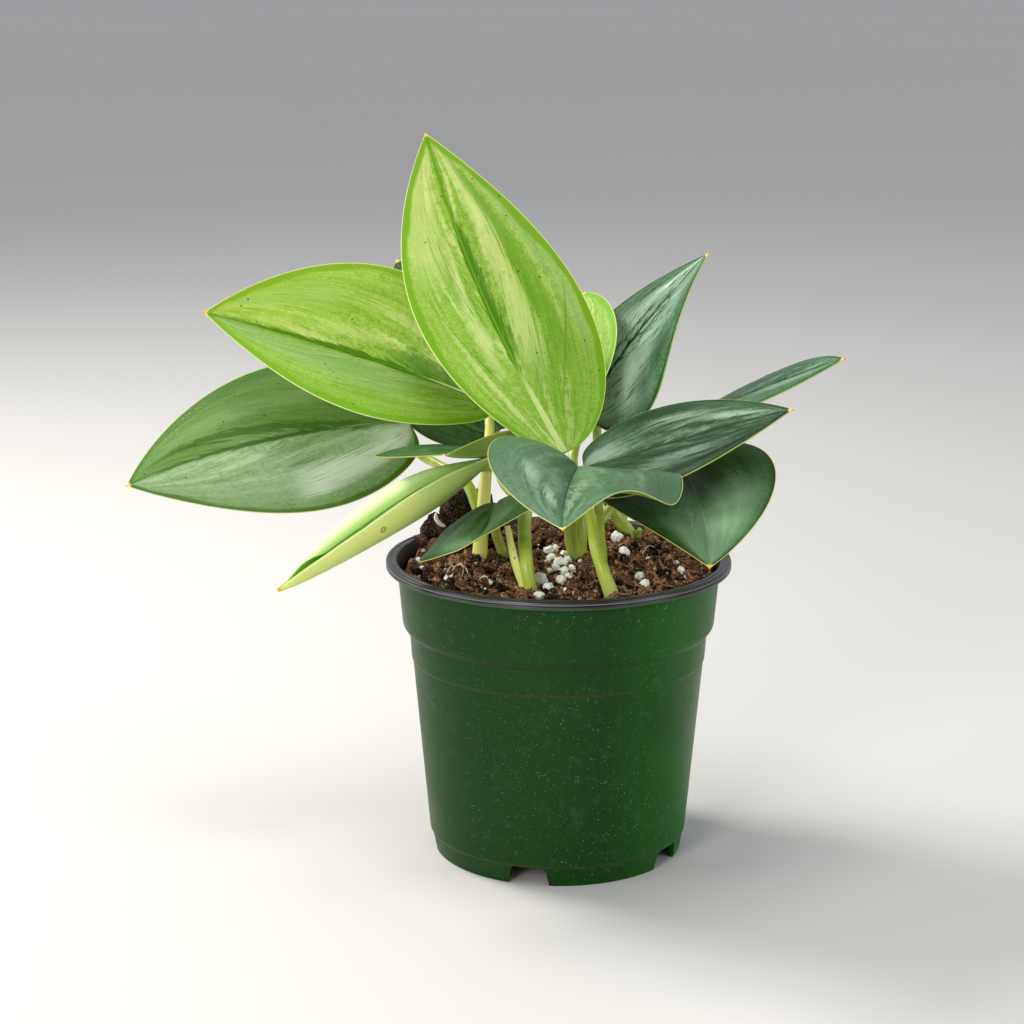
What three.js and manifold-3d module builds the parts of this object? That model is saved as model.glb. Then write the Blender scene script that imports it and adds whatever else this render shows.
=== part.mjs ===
// A house plant with smooth pointed leaves in a green nursery pot. Millimetres, +Z up, the foot of
// the pot stands on Z = 0 and its axis is the Z axis. The front of the plant looks along -Y.
import * as THREE from "three";
import { mergeVertices } from "three/addons/utils/BufferGeometryUtils.js";
import Module from "manifold-3d";

const wasm = await Module();
wasm.setup();

// Pot: a thin-walled nursery pot with a flat-topped lip, a collar, and notches in its foot ring. The
// middle of its floor dips to a round flat hub that stands on the same plane as the foot ring.
const RIM_TOP = 100.5;
const RIM_RADIUS = 57.5;
const LIP_HEIGHT = 2.7;
const LIP_ROUND = 0.7;
const MOUTH_RADIUS = 54.1;
const COLLAR_TOP_RADIUS = 53.8;
const COLLAR_FOOT_RADIUS = 52.1;
const COLLAR_FOOT = 78.5;
const STEP_RADIUS = 49.8;
const STEP_FOOT = 76;
const BAND_RADIUS = 49.2;
const BAND_HEIGHT = 67;
const BAND_STEP = 0.4;
const CREASE_RADIUS = 43.4;
const CREASE_HEIGHT = 6.8;
const FOOT_RADIUS = 41.8;
const WALL = 1.3;
const FLOOR_UNDERSIDE = 6.5;
const FLOOR_TOP = 7.8;
const HUB_RADIUS = 12;
const HUB_DRAFT = 3;
const POT_SEGMENTS = 40;
const NOTCH_COUNT = 5;
const NOTCH_HEIGHT = 6.5;
const NOTCH_FOOT_WIDTH = 14.8;
const NOTCH_TOP_WIDTH = 11.4;
const NOTCH_TURN = 13;
const DRAIN_RADIUS = 33;
const DRAIN_WIDTH = 8;

// Potting mix: a bumpy plug of soil, with bark chips and perlite grains bedded in its top.
const SOIL_LEVEL = 97;
const SOIL_GAP = 0.4;
const SOIL_RINGS = 6;
const SOIL_SEGMENTS = 30;
const SOIL_BUMP = 0.9;
const BACK_RISE = { x: 14, y: 42, height: 4, spread: 30 };
const HEAP = { x: -34, y: 25, height: 10, spread: 11 };
const LEFT_HOLLOW = { x: -46, y: -8, height: -2.5, spread: 10 };
const BARK_COUNT = 17;
const BARK_LENGTH = 10;
const PERLITE_COUNT = 11;
const PERLITE_SIZE = 3.2;
const PERLITE_HEAP = { x: 1, y: -20, spread: 6, count: 7 };
const BARK_IN_HEAP = [
  { x: -39, y: 22, z: 105, length: 15, width: 9, tilt: 50, turn: 30 },
  { x: -31, y: 27, z: 108, length: 17, width: 9, tilt: -40, turn: 75 },
  { x: -25, y: 23, z: 104, length: 13, width: 8, tilt: 20, turn: 140 },
  { x: -41, y: 13, z: 99, length: 12, width: 8, tilt: -20, turn: 110 },
];

// Stems: the shoots stand in holes in the mix, so a root of each reaches below its surface.
const ROOT_DEPTH = 14;
const HOLE_CLEARANCE = 0.35;
const STEM_SIDES = 7;
const STEM_STEP = 6.5;
const SEAT_GAP = 0.45;
const SEAT_FORWARD = 2;
const SEAT_DROP = 5;
const PETIOLE_END_RADIUS = 1.3;

// Leaves: the blade is an even sheet, bent about its midrib.
const BLADE = 0.8;
const BLADE_ROWS = 14;
const BLADE_COLUMNS = 3;
const MIDRIB_STEPS = 56;
const LOBE_START = 0.02;

const leaf = (base, heading, rise, roll, length, width, bend, section) => ({
  base,
  heading,
  rise,
  roll,
  length,
  width,
  droop: bend[0],
  sway: bend[1],
  twist: bend[2],
  foldLeft: section[0],
  foldRight: section[1],
  curlLeft: section[2],
  curlRight: section[3],
});

// Each leaf: where its blade meets the petiole, the way it points, its length and width, how far the
// midrib droops, sways and twists by the tip, and how each half folds up and curls (degrees).
// belly: where the blade is widest; tip: how long it is drawn out; lobe: how far the heart-shaped
// base reaches back; skew: how much wider the right half is; wave: the lift of a wavy margin.
const LEAVES = {
  leaf_upright_lime: {
    ...leaf([1.5, -4.5, 136.5], 135, 48, -3, 123, 64.5, [-16, 10, -36], [18, 8, -7, 12]),
    belly: 0.36,
    tip: 0.95,
    lobe: 0.5,
    skew: 0.01,
    colour: 0x7fb043,
  },
  leaf_left_lime: {
    ...leaf([-21, 16, 148.5], 171, 22, -56, 103, 60, [-15, -16, 1], [37, 28, -18, -4]),
    belly: 0.43,
    tip: 0.92,
    lobe: 4,
    skew: 0.06,
    colour: 0x7aa946,
  },
  leaf_lower_left: {
    ...leaf([-50.5, 28, 141], 195, -1, -52, 99, 57, [18, -14, 1], [11, 12, -19, -19]),
    belly: 0.38,
    tip: 0.9,
    lobe: 7,
    skew: -0.05,
    colour: 0x5c8a52,
  },
  leaf_edge_on: {
    ...leaf([-21.5, -2, 136], -115, 15, 6, 49, 49, [22, -9, 10], [21, 15, -25, -27]),
    belly: 0.38,
    tip: 0.99,
    lobe: 4,
    skew: 0.35,
    colour: 0x35584a,
  },
  leaf_front_wavy: {
    ...leaf([5.5, -24, 136.5], -99, -1, -10, 72, 65, [5, -8, 25], [19, 45, -33, -42]),
    belly: 0.35,
    tip: 1.06,
    lobe: 4,
    skew: -0.12,
    wave: 5.5,
    colour: 0x3f6a53,
  },
  leaf_right_upper: {
    ...leaf([8, -5, 131.5], -16, 20, 25, 73, 50, [3, 1, -5], [10, 10, -20, -20]),
    belly: 0.35,
    tip: 0.93,
    lobe: 4.5,
    skew: 0.02,
    colour: 0x3a6247,
  },
  leaf_right_drooping: {
    ...leaf([38.5, 13, 130.5], -78, -4, 15, 79.5, 59, [23, 16, -15], [24, 14, -31, -21]),
    belly: 0.36,
    tip: 0.93,
    lobe: 4,
    skew: 0.05,
    colour: 0x2f5340,
  },
  leaf_back_right: {
    ...leaf([9.5, 38, 141], 13, 62, 41, 72.5, 54, [-11, 33, -30], [-2, 19, -29, -13]),
    belly: 0.32,
    tip: 1.01,
    lobe: 4,
    skew: 0.09,
    colour: 0x42624f,
  },
  leaf_far_right: {
    ...leaf([37, 33, 136.5], -27, 27, 3, 74, 43.5, [3, 11, 13], [10, 10, -20, -21]),
    belly: 0.4,
    tip: 0.93,
    lobe: 4,
    skew: 0,
    colour: 0x3d6844,
  },
  leaf_behind_lime: {
    ...leaf([3, 26, 140], 83, 45, -42, 60, 47, [13, -3, -2], [26, 11, -9, -11]),
    belly: 0.4,
    tip: 0.93,
    lobe: 4,
    skew: 0.08,
    colour: 0x8fc255,
  },
  leaf_behind_dark: {
    ...leaf([-20.5, 44, 134], 130, 43, -32, 79.5, 49, [0, 1, 0], [10, 12, -17, -15]),
    belly: 0.35,
    tip: 0.92,
    lobe: 4.5,
    skew: -0.15,
    colour: 0x2f4f40,
  },
  leaf_low_left: {
    ...leaf([-20.5, -15, 122.5], -99, -9, 27, 48.5, 50, [-19, -9, 11], [15, 20, -43, -30]),
    belly: 0.41,
    tip: 0.86,
    lobe: 5.5,
    skew: 0.02,
    colour: 0x35583c,
  },
};

// The youngest leaf is still rolled up: a sheet wound about its own axis.
const ROLL_BASE = [-25, -12.5, 134.5];
const ROLL_TIP = [-89.5, -45, 101];
const ROLL_BOW = 2;
const ROLL_RADIUS = 5.6;
const ROLL_TIP_RADIUS = 0.7;
const ROLL_BELLY = 0.38;
const ROLL_TAPER = 0.65;
const ROLL_PITCH = 1.4;
const ROLL_TURN = 400;
const ROLL_END_TURN = 250;
const ROLL_EDGE_ANGLE = 200;
const ROLL_SHEET = 0.7;
const ROLL_ROWS = 9;
const ROLL_COLUMNS = 12;
const ROLL_COLOUR = 0xb9d47c;

// Shoots: the stem and the petioles that grow from it. A path runs up from the mix, and the last
// point of a petiole is the seat under the named leaf. Radii are at the foot and at the top.
const SHOOTS = {
  shoot_left: {
    colour: 0x9fb35a,
    limbs: [
      {
        path: [[-26.5, 8.5, 96], [-25, 8, 116], [-24, 10, 129.5], [-23, 14, 140]],
        radii: [2.8, 2.2],
        leaf: "leaf_left_lime",
        rooted: true,
      },
      {
        path: [[-26, 9, 112], [-31, 14, 122.5], [-41.5, 26, 126.5], [-47, 33, 128]],
        radii: [2, 1.5],
        leaf: "leaf_lower_left",
      },
      {
        path: [[-25.5, 8.5, 112], [-25, 18, 121], [-23, 31, 126]],
        radii: [2, 1.5],
        leaf: "leaf_behind_dark",
      },
    ],
  },
  shoot_thin: {
    colour: 0x86a545,
    limbs: [
      {
        path: [[-18, 9.5, 96], [-21, 6, 108], [-20, 0, 116]],
        radii: [1.9, 1.5],
        leaf: "leaf_low_left",
        rooted: true,
      },
    ],
  },
  shoot_front_left: {
    colour: 0xa5b76a,
    limbs: [
      {
        path: [
          [-9.5, -33.5, 96],
          [-11, -31.5, 107],
          [-11.5, -19, 115.5],
          [-11, -6, 122],
          [-15.5, -6.5, 133],
        ],
        end: [-25.6, -12.8, 134.3],
        radii: [2.3, 2.1],
        rooted: true,
      },
      {
        path: [[-11, -7, 121], [-17, -4, 124.5]],
        radii: [1.7, 1.4],
        leaf: "leaf_edge_on",
      },
      {
        path: [[-10.5, -32.5, 97], [-14.5, -32, 107]],
        end: [-17, -29, 118],
        radii: [1.9, 0.9],
      },
    ],
  },
  shoot_centre: {
    colour: 0xa3b566,
    limbs: [
      {
        path: [[6, 8.5, 96], [4, 4, 108.5], [4, 1, 119.5]],
        radii: [2.9, 2.2],
        leaf: "leaf_upright_lime",
        rooted: true,
      },
      {
        path: [[7, 9, 98], [7.5, 8.5, 107.5], [6.5, 12, 118.5], [5, 19, 129]],
        radii: [2.6, 1.6],
        leaf: "leaf_behind_lime",
      },
    ],
  },
  shoot_front: {
    colour: 0x8fae44,
    limbs: [
      {
        path: [[16.5, -38.5, 96], [13.5, -40, 105.5], [11, -36, 113], [9.5, -31, 122]],
        radii: [2.8, 1.9],
        leaf: "leaf_front_wavy",
        rooted: true,
      },
    ],
  },
  shoot_right: {
    colour: 0x97ae52,
    limbs: [
      {
        path: [[14.5, -1, 96], [13.5, -2, 110], [13, -4, 119.5]],
        radii: [2.4, 1.7],
        leaf: "leaf_right_upper",
        rooted: true,
      },
      {
        path: [[13.5, -2, 113], [22, 6, 120], [31, 12, 123.5]],
        radii: [1.8, 1.4],
        leaf: "leaf_right_drooping",
      },
    ],
  },
  shoot_back: {
    colour: 0x93ab50,
    limbs: [
      {
        path: [[27, 31.5, 96], [24.5, 30, 101.5], [20.5, 28, 107.5], [15, 30, 120]],
        radii: [2.9, 1.7],
        leaf: "leaf_back_right",
        rooted: true,
      },
      {
        path: [[22, 28.5, 105], [25, 32, 118], [31, 33, 127]],
        radii: [2, 1.4],
        leaf: "leaf_far_right",
      },
      {
        path: [[26.5, 31.5, 97], [27.5, 29.5, 100]],
        end: [28.5, 27.5, 103],
        radii: [2, 0.8],
      },
    ],
  },
};

const rad = THREE.MathUtils.degToRad;
const vec = (p) => new THREE.Vector3(...p);

// The same run of random numbers every time.
function randomFrom(seed) {
  let state = seed;
  return () => {
    state = (state * 1664525 + 1013904223) % 4294967296;
    return state / 4294967296;
  };
}

function solidOf(geometry) {
  const bare = new THREE.BufferGeometry();
  const plain = geometry.index ? geometry.toNonIndexed() : geometry;
  bare.setAttribute("position", plain.getAttribute("position"));
  const merged = mergeVertices(bare, 1e-4);
  return new wasm.Manifold(
    new wasm.Mesh({
      numProp: 3,
      vertProperties: merged.attributes.position.array,
      triVerts: new Uint32Array(merged.index.array),
    }),
  );
}

function geometryOf(solid) {
  const made = solid.getMesh();
  const geometry = new THREE.BufferGeometry();
  geometry.setAttribute("position", new THREE.BufferAttribute(made.vertProperties, 3));
  geometry.setIndex(new THREE.BufferAttribute(made.triVerts, 1));
  return geometry;
}

// A closed sheet: an upper and a lower skin over a grid of points, joined round the margin.
// grid[i][j] holds { at, up } : a point of the middle surface and the upward normal there.
function sheetGeometry(grid, thickness) {
  const rows = grid.length;
  const columns = grid[0].length;
  const positions = [];
  for (const side of [0.5, -0.5]) {
    for (const row of grid) {
      for (const { at, up } of row) {
        positions.push(...at.clone().addScaledVector(up, side * thickness).toArray());
      }
    }
  }
  const upper = (i, j) => i * columns + j;
  const lower = (i, j) => rows * columns + i * columns + j;
  const index = [];
  const quad = (a, b, c, d) => index.push(a, b, c, a, c, d);
  for (let i = 0; i < rows - 1; i += 1) {
    for (let j = 0; j < columns - 1; j += 1) {
      quad(upper(i, j), upper(i, j + 1), upper(i + 1, j + 1), upper(i + 1, j));
      index.push(lower(i, j), lower(i + 1, j + 1), lower(i, j + 1));
      index.push(lower(i, j), lower(i + 1, j), lower(i + 1, j + 1));
    }
    quad(upper(i, 0), upper(i + 1, 0), lower(i + 1, 0), lower(i, 0));
    const last = columns - 1;
    quad(upper(i + 1, last), upper(i, last), lower(i, last), lower(i + 1, last));
  }
  for (let j = 0; j < columns - 1; j += 1) {
    quad(upper(0, j + 1), upper(0, j), lower(0, j), lower(0, j + 1));
    const last = rows - 1;
    quad(upper(last, j), upper(last, j + 1), lower(last, j + 1), lower(last, j));
  }
  const geometry = new THREE.BufferGeometry();
  geometry.setAttribute("position", new THREE.Float32BufferAttribute(positions, 3));
  geometry.setIndex(index);
  return withoutSlivers(geometry);
}

// The rows at the two ends of a blade shrink to a point: its faces of no area are left out.
function withoutSlivers(geometry) {
  const merged = mergeVertices(geometry, 1e-4);
  const kept = [];
  const all = merged.index.array;
  for (let i = 0; i < all.length; i += 3) {
    const [a, b, c] = [all[i], all[i + 1], all[i + 2]];
    if (a !== b && b !== c && c !== a) kept.push(a, b, c);
  }
  merged.setIndex(kept);
  return merged;
}

// The midrib: a chain of frames { at, along, right, up } from the petiole to the tip.
function midrib(spec) {
  const heading = rad(spec.heading);
  const rise = rad(spec.rise);
  const along = new THREE.Vector3(
    Math.cos(rise) * Math.cos(heading),
    Math.cos(rise) * Math.sin(heading),
    Math.sin(rise),
  );
  const right = new THREE.Vector3(Math.sin(heading), -Math.cos(heading), 0);
  const up = right.clone().cross(along);
  const at = vec(spec.base);
  const frames = [];
  const turn = (axis, angle) => {
    for (const v of [along, right, up]) v.applyAxisAngle(axis, angle);
  };
  turn(along.clone(), rad(spec.roll));
  for (let i = 0; i <= MIDRIB_STEPS; i += 1) {
    frames.push({ at: at.clone(), along: along.clone(), right: right.clone(), up: up.clone() });
    const before = along.clone();
    const t = (i + 0.5) / MIDRIB_STEPS;
    turn(right.clone(), (-rad(spec.droop) * 2 * t) / MIDRIB_STEPS);
    turn(up.clone(), -rad(spec.sway) / MIDRIB_STEPS);
    turn(along.clone(), rad(spec.twist) / MIDRIB_STEPS);
    at.addScaledVector(before.add(along), spec.length / MIDRIB_STEPS / 2);
  }
  return frames;
}

// Half the width of the blade at t along it, as a share of its greatest half width.
function bladeOutline(t, belly, tip) {
  const rise = (tip * belly) / (1 - belly);
  return (t ** rise * (1 - t) ** tip) / (belly ** rise * (1 - belly) ** tip);
}

// A point of the middle surface of a blade: t runs along it, v from -1 (left margin) to 1 (right).
function bladePoint(spec, frames, t, v) {
  const place = Math.min(t * MIDRIB_STEPS, MIDRIB_STEPS - 1e-6);
  const i = Math.floor(place);
  const mix = (key) => frames[i][key].clone().lerp(frames[i + 1][key], place - i);
  const side = v < 0 ? -1 : 1;
  const out = Math.abs(v);
  const fold = rad(side < 0 ? spec.foldLeft : spec.foldRight);
  const curl = rad(side < 0 ? spec.curlLeft : spec.curlRight);
  const half = bladeOutline(t, spec.belly, spec.tip) * (spec.width / 2) * (1 + side * spec.skew);
  const across = (half * (Math.sin(fold + curl * out) - Math.sin(fold))) / curl;
  const wave = side < 0 && spec.wave ? spec.wave * Math.sin(3 * Math.PI * t) : 0;
  const lift =
    (half * (Math.cos(fold) - Math.cos(fold + curl * out))) / curl +
    wave * out * out * Math.sin(Math.PI * t);
  const back = spec.lobe * (1 - t) ** 6 * out * out * (1 - Math.exp(-t / LOBE_START));
  return mix("at")
    .addScaledVector(mix("right"), side * across)
    .addScaledVector(mix("up"), lift)
    .addScaledVector(mix("along"), -back);
}

function bladeGrid(spec) {
  const frames = midrib(spec);
  const grid = [];
  const step = 0.004;
  for (let i = 0; i <= BLADE_ROWS; i += 1) {
    const even = i / BLADE_ROWS;
    const t = 0.35 * even + 0.65 * (0.5 - 0.5 * Math.cos(Math.PI * even));
    const row = [];
    for (let j = -BLADE_COLUMNS; j <= BLADE_COLUMNS; j += 1) {
      const v = j / BLADE_COLUMNS;
      const at = bladePoint(spec, frames, t, v);
      const near = Math.min(Math.max(t, 0.03), 0.97);
      const alongStep = bladePoint(spec, frames, near + step, v)
        .sub(bladePoint(spec, frames, near - step, v));
      const acrossStep = bladePoint(spec, frames, near, Math.min(v + step, 1))
        .sub(bladePoint(spec, frames, near, Math.max(v - step, -1)));
      let up = acrossStep.cross(alongStep).normalize();
      if (i === 0) up = frames[0].up;
      if (i === BLADE_ROWS) up = frames[MIDRIB_STEPS].up;
      row.push({ at, up });
    }
    grid.push(row);
  }
  return grid;
}

// The rolled leaf: the sheet winds outwards from its inner edge, and its free edge lies on top.
function rollGrid() {
  const base = vec(ROLL_BASE);
  const tip = vec(ROLL_TIP);
  const along = tip.clone().sub(base).normalize();
  const right = along.clone().cross(new THREE.Vector3(0, 0, 1)).normalize();
  const up = right.clone().cross(along);
  const grid = [];
  for (let i = 0; i <= ROLL_ROWS; i += 1) {
    const t = 0.02 + (0.98 * i) / ROLL_ROWS;
    const shape = bladeOutline(Math.min(t, 0.999), ROLL_BELLY, ROLL_TAPER);
    const radius = ROLL_TIP_RADIUS + (ROLL_RADIUS - ROLL_TIP_RADIUS) * shape;
    const turn = ROLL_END_TURN + (ROLL_TURN - ROLL_END_TURN) * Math.sin(Math.PI * Math.min(t, 1));
    const centre = base.clone().lerp(tip, t).addScaledVector(up, ROLL_BOW * Math.sin(Math.PI * t));
    const row = [];
    for (let j = 0; j <= ROLL_COLUMNS; j += 1) {
      const wound = (turn * j) / ROLL_COLUMNS;
      const angle = rad(ROLL_EDGE_ANGLE - turn + wound);
      const reach = radius + (ROLL_PITCH * wound) / 360;
      const outward = right.clone().multiplyScalar(Math.cos(angle))
        .addScaledVector(up, Math.sin(angle));
      row.push({ at: centre.clone().addScaledVector(outward, reach), up: outward.negate() });
    }
    grid.push(row);
  }
  return grid;
}

// A tapering closed tube along a smooth path.
function limbGeometry(points, radii, extra = 0) {
  const curve = new THREE.CatmullRomCurve3(points, false, "centripetal");
  const steps = Math.max(2, Math.round(curve.getLength() / STEM_STEP));
  const frames = curve.computeFrenetFrames(steps, false);
  const positions = [];
  for (let i = 0; i <= steps; i += 1) {
    const share = i / steps;
    const radius = radii[0] + (radii[1] - radii[0]) * share + extra;
    const centre = curve.getPointAt(share);
    for (let k = 0; k < STEM_SIDES; k += 1) {
      const angle = (2 * Math.PI * k) / STEM_SIDES;
      const rim = centre.clone()
        .addScaledVector(frames.normals[i], radius * Math.cos(angle))
        .addScaledVector(frames.binormals[i], radius * Math.sin(angle));
      positions.push(...rim.toArray());
    }
  }
  const foot = positions.length / 3;
  positions.push(...points[0].toArray(), ...points[points.length - 1].toArray());
  const index = [];
  for (let k = 0; k < STEM_SIDES; k += 1) {
    const next = (k + 1) % STEM_SIDES;
    for (let i = 0; i < steps; i += 1) {
      const a = i * STEM_SIDES;
      const b = a + STEM_SIDES;
      index.push(a + k, a + next, b + next, a + k, b + next, b + k);
    }
    const top = steps * STEM_SIDES;
    index.push(foot, next, k, foot + 1, top + k, top + next);
  }
  const geometry = new THREE.BufferGeometry();
  geometry.setAttribute("position", new THREE.Float32BufferAttribute(positions, 3));
  geometry.setIndex(index);
  return geometry;
}

// Where a petiole meets the underside of its blade, and the point below that it comes up from.
function seatOf(spec) {
  const { at, along, up } = midrib(spec)[0];
  const seat = at.addScaledVector(along, SEAT_FORWARD).addScaledVector(up, -BLADE / 2 - SEAT_GAP);
  const below = seat.clone().addScaledVector(up, -SEAT_DROP);
  return [below, seat];
}

function limbPoints(limb) {
  const points = limb.path.map(vec);
  if (limb.leaf) points.push(...seatOf(LEAVES[limb.leaf]));
  if (limb.end) points.push(vec(limb.end));
  return points;
}

// The straight root of a shoot, from its foot in the mix down.
function rootPoints(limb, deeper = 0, higher = 0) {
  const foot = vec(limb.path[0]);
  const low = foot.clone().setZ(foot.z - ROOT_DEPTH - deeper);
  return [low, foot.clone().setZ(foot.z + higher)];
}

function shootSolid(shoot) {
  let made;
  for (const limb of shoot.limbs) {
    const end = limb.leaf ? PETIOLE_END_RADIUS : limb.radii[1];
    let piece = solidOf(limbGeometry(limbPoints(limb), [limb.radii[0], end]));
    if (limb.rooted) {
      const thick = [limb.radii[0], limb.radii[0]];
      piece = piece.add(solidOf(limbGeometry(rootPoints(limb, 0, 1), thick)));
    }
    made = made ? made.add(piece) : piece;
  }
  return made;
}

function latheGeometry(profile, segments) {
  const points = profile.map(([r, z]) => new THREE.Vector2(r, z));
  return new THREE.LatheGeometry(points, segments).rotateX(Math.PI / 2);
}

function potSolid() {
  const lipFoot = RIM_TOP - LIP_HEIGHT;
  const profile = [
    [0, 0],
    [HUB_RADIUS, 0],
    [HUB_RADIUS + HUB_DRAFT, FLOOR_UNDERSIDE],
    [FOOT_RADIUS - WALL, FLOOR_UNDERSIDE],
    [FOOT_RADIUS - WALL, 0],
    [FOOT_RADIUS, 0],
    [CREASE_RADIUS - 0.6, CREASE_HEIGHT - 0.5],
    [CREASE_RADIUS, CREASE_HEIGHT],
    [BAND_RADIUS - BAND_STEP, BAND_HEIGHT - BAND_STEP],
    [BAND_RADIUS, BAND_HEIGHT],
    [STEP_RADIUS, STEP_FOOT],
    [COLLAR_FOOT_RADIUS - 0.6, COLLAR_FOOT - 1],
    [COLLAR_FOOT_RADIUS, COLLAR_FOOT],
    [COLLAR_TOP_RADIUS, lipFoot],
    [RIM_RADIUS - LIP_ROUND, lipFoot],
    [RIM_RADIUS, lipFoot + LIP_ROUND],
    [RIM_RADIUS, RIM_TOP - LIP_ROUND],
    [RIM_RADIUS - LIP_ROUND, RIM_TOP],
    [MOUTH_RADIUS + 0.3, RIM_TOP],
    [MOUTH_RADIUS - 0.3, RIM_TOP - 0.5],
    [COLLAR_TOP_RADIUS - WALL, lipFoot - 1.5],
    [COLLAR_FOOT_RADIUS - WALL, COLLAR_FOOT],
    [STEP_RADIUS - WALL, STEP_FOOT],
    [CREASE_RADIUS - WALL, FLOOR_TOP],
    [HUB_RADIUS + HUB_DRAFT - WALL, FLOOR_TOP],
    [HUB_RADIUS - WALL, WALL],
    [0, WALL],
  ];
  let pot = solidOf(latheGeometry(profile, POT_SEGMENTS));
  const outline = new THREE.Shape();
  outline.moveTo(-NOTCH_FOOT_WIDTH / 2 - 0.3, -1);
  outline.lineTo(NOTCH_FOOT_WIDTH / 2 + 0.3, -1);
  outline.lineTo(NOTCH_TOP_WIDTH / 2 + 0.8, NOTCH_HEIGHT - 1.2);
  outline.lineTo(NOTCH_TOP_WIDTH / 2, NOTCH_HEIGHT);
  outline.lineTo(-NOTCH_TOP_WIDTH / 2, NOTCH_HEIGHT);
  outline.lineTo(-NOTCH_TOP_WIDTH / 2 - 0.8, NOTCH_HEIGHT - 1.2);
  outline.closePath();
  const depth = RIM_RADIUS - DRAIN_RADIUS;
  for (let i = 0; i < NOTCH_COUNT; i += 1) {
    const turn = rad((360 * i) / NOTCH_COUNT - NOTCH_TURN);
    const notch = new THREE.ExtrudeGeometry(outline, { depth, bevelEnabled: false })
      .rotateX(Math.PI / 2)
      .translate(0, -DRAIN_RADIUS, 0)
      .rotateZ(turn);
    const slotLength = FOOT_RADIUS - WALL - DRAIN_RADIUS - 1;
    const slot = new THREE.BoxGeometry(DRAIN_WIDTH, slotLength, 2 * (FLOOR_TOP - FLOOR_UNDERSIDE))
      .translate(0, -DRAIN_RADIUS - slotLength / 2, (FLOOR_TOP + FLOOR_UNDERSIDE) / 2)
      .rotateZ(turn);
    pot = pot.subtract(solidOf(notch)).subtract(solidOf(slot));
  }
  return pot;
}

function moundAt(x, y, mound) {
  const reach = Math.hypot(x - mound.x, y - mound.y) / mound.spread;
  return mound.height * Math.exp(-reach * reach);
}

function soilHeight(x, y, bump) {
  const mounds = moundAt(x, y, HEAP) + moundAt(x, y, LEFT_HOLLOW) + moundAt(x, y, BACK_RISE);
  return SOIL_LEVEL + bump + mounds;
}

// The plug of mix: rings of points on its top, then down its wall and across its foot.
function plugGeometry(random) {
  const topRadius = COLLAR_TOP_RADIUS - WALL - SOIL_GAP - 0.4;
  const wall = [
    [COLLAR_FOOT_RADIUS - WALL - SOIL_GAP, COLLAR_FOOT + SOIL_GAP],
    [STEP_RADIUS - WALL - SOIL_GAP, STEP_FOOT + SOIL_GAP],
    [CREASE_RADIUS - WALL - SOIL_GAP, FLOOR_TOP + SOIL_GAP],
    [HUB_RADIUS + HUB_DRAFT - WALL - SOIL_GAP, FLOOR_TOP + SOIL_GAP],
    [HUB_RADIUS - WALL - SOIL_GAP, WALL + SOIL_GAP],
  ];
  const rings = [];
  for (let i = 1; i <= SOIL_RINGS; i += 1) {
    const radius = (topRadius * i) / SOIL_RINGS;
    const ring = [];
    for (let k = 0; k < SOIL_SEGMENTS; k += 1) {
      const angle = (2 * Math.PI * k) / SOIL_SEGMENTS;
      const x = radius * Math.cos(angle);
      const y = radius * Math.sin(angle);
      const bump = (random() * 2 - 1) * SOIL_BUMP;
      ring.push([x, y, soilHeight(x, y, i === SOIL_RINGS ? -1 : bump)]);
    }
    rings.push(ring);
  }
  for (const [radius, z] of wall) {
    const ring = [];
    for (let k = 0; k < SOIL_SEGMENTS; k += 1) {
      const angle = (2 * Math.PI * k) / SOIL_SEGMENTS;
      ring.push([radius * Math.cos(angle), radius * Math.sin(angle), z]);
    }
    rings.push(ring);
  }
  const positions = [0, 0, SOIL_LEVEL];
  for (const ring of rings) {
    for (const point of ring) positions.push(...point);
  }
  positions.push(0, 0, WALL + SOIL_GAP);
  const last = 1 + rings.length * SOIL_SEGMENTS;
  const index = [];
  for (let k = 0; k < SOIL_SEGMENTS; k += 1) {
    const next = (k + 1) % SOIL_SEGMENTS;
    index.push(0, 1 + k, 1 + next);
    for (let i = 0; i < rings.length - 1; i += 1) {
      const a = 1 + i * SOIL_SEGMENTS;
      const b = a + SOIL_SEGMENTS;
      index.push(a + k, b + k, b + next, a + k, b + next, a + next);
    }
    const foot = last - SOIL_SEGMENTS;
    index.push(last, foot + next, foot + k);
  }
  const geometry = new THREE.BufferGeometry();
  geometry.setAttribute("position", new THREE.Float32BufferAttribute(positions, 3));
  geometry.setIndex(index);
  return geometry;
}

function barkGeometry(chip) {
  return new THREE.BoxGeometry(chip.length, chip.width, chip.width * 0.6)
    .rotateX(rad(chip.tilt / 2))
    .rotateY(rad(chip.tilt))
    .rotateZ(rad(chip.turn))
    .translate(chip.x, chip.y, chip.z);
}

function perliteGeometry(grain, random) {
  return new THREE.OctahedronGeometry(grain.size / 2)
    .scale(1.15, 0.9 + 0.4 * random(), 0.95)
    .rotateX(random() * 3)
    .rotateZ(random() * 3)
    .translate(grain.x, grain.y, grain.z);
}

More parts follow.
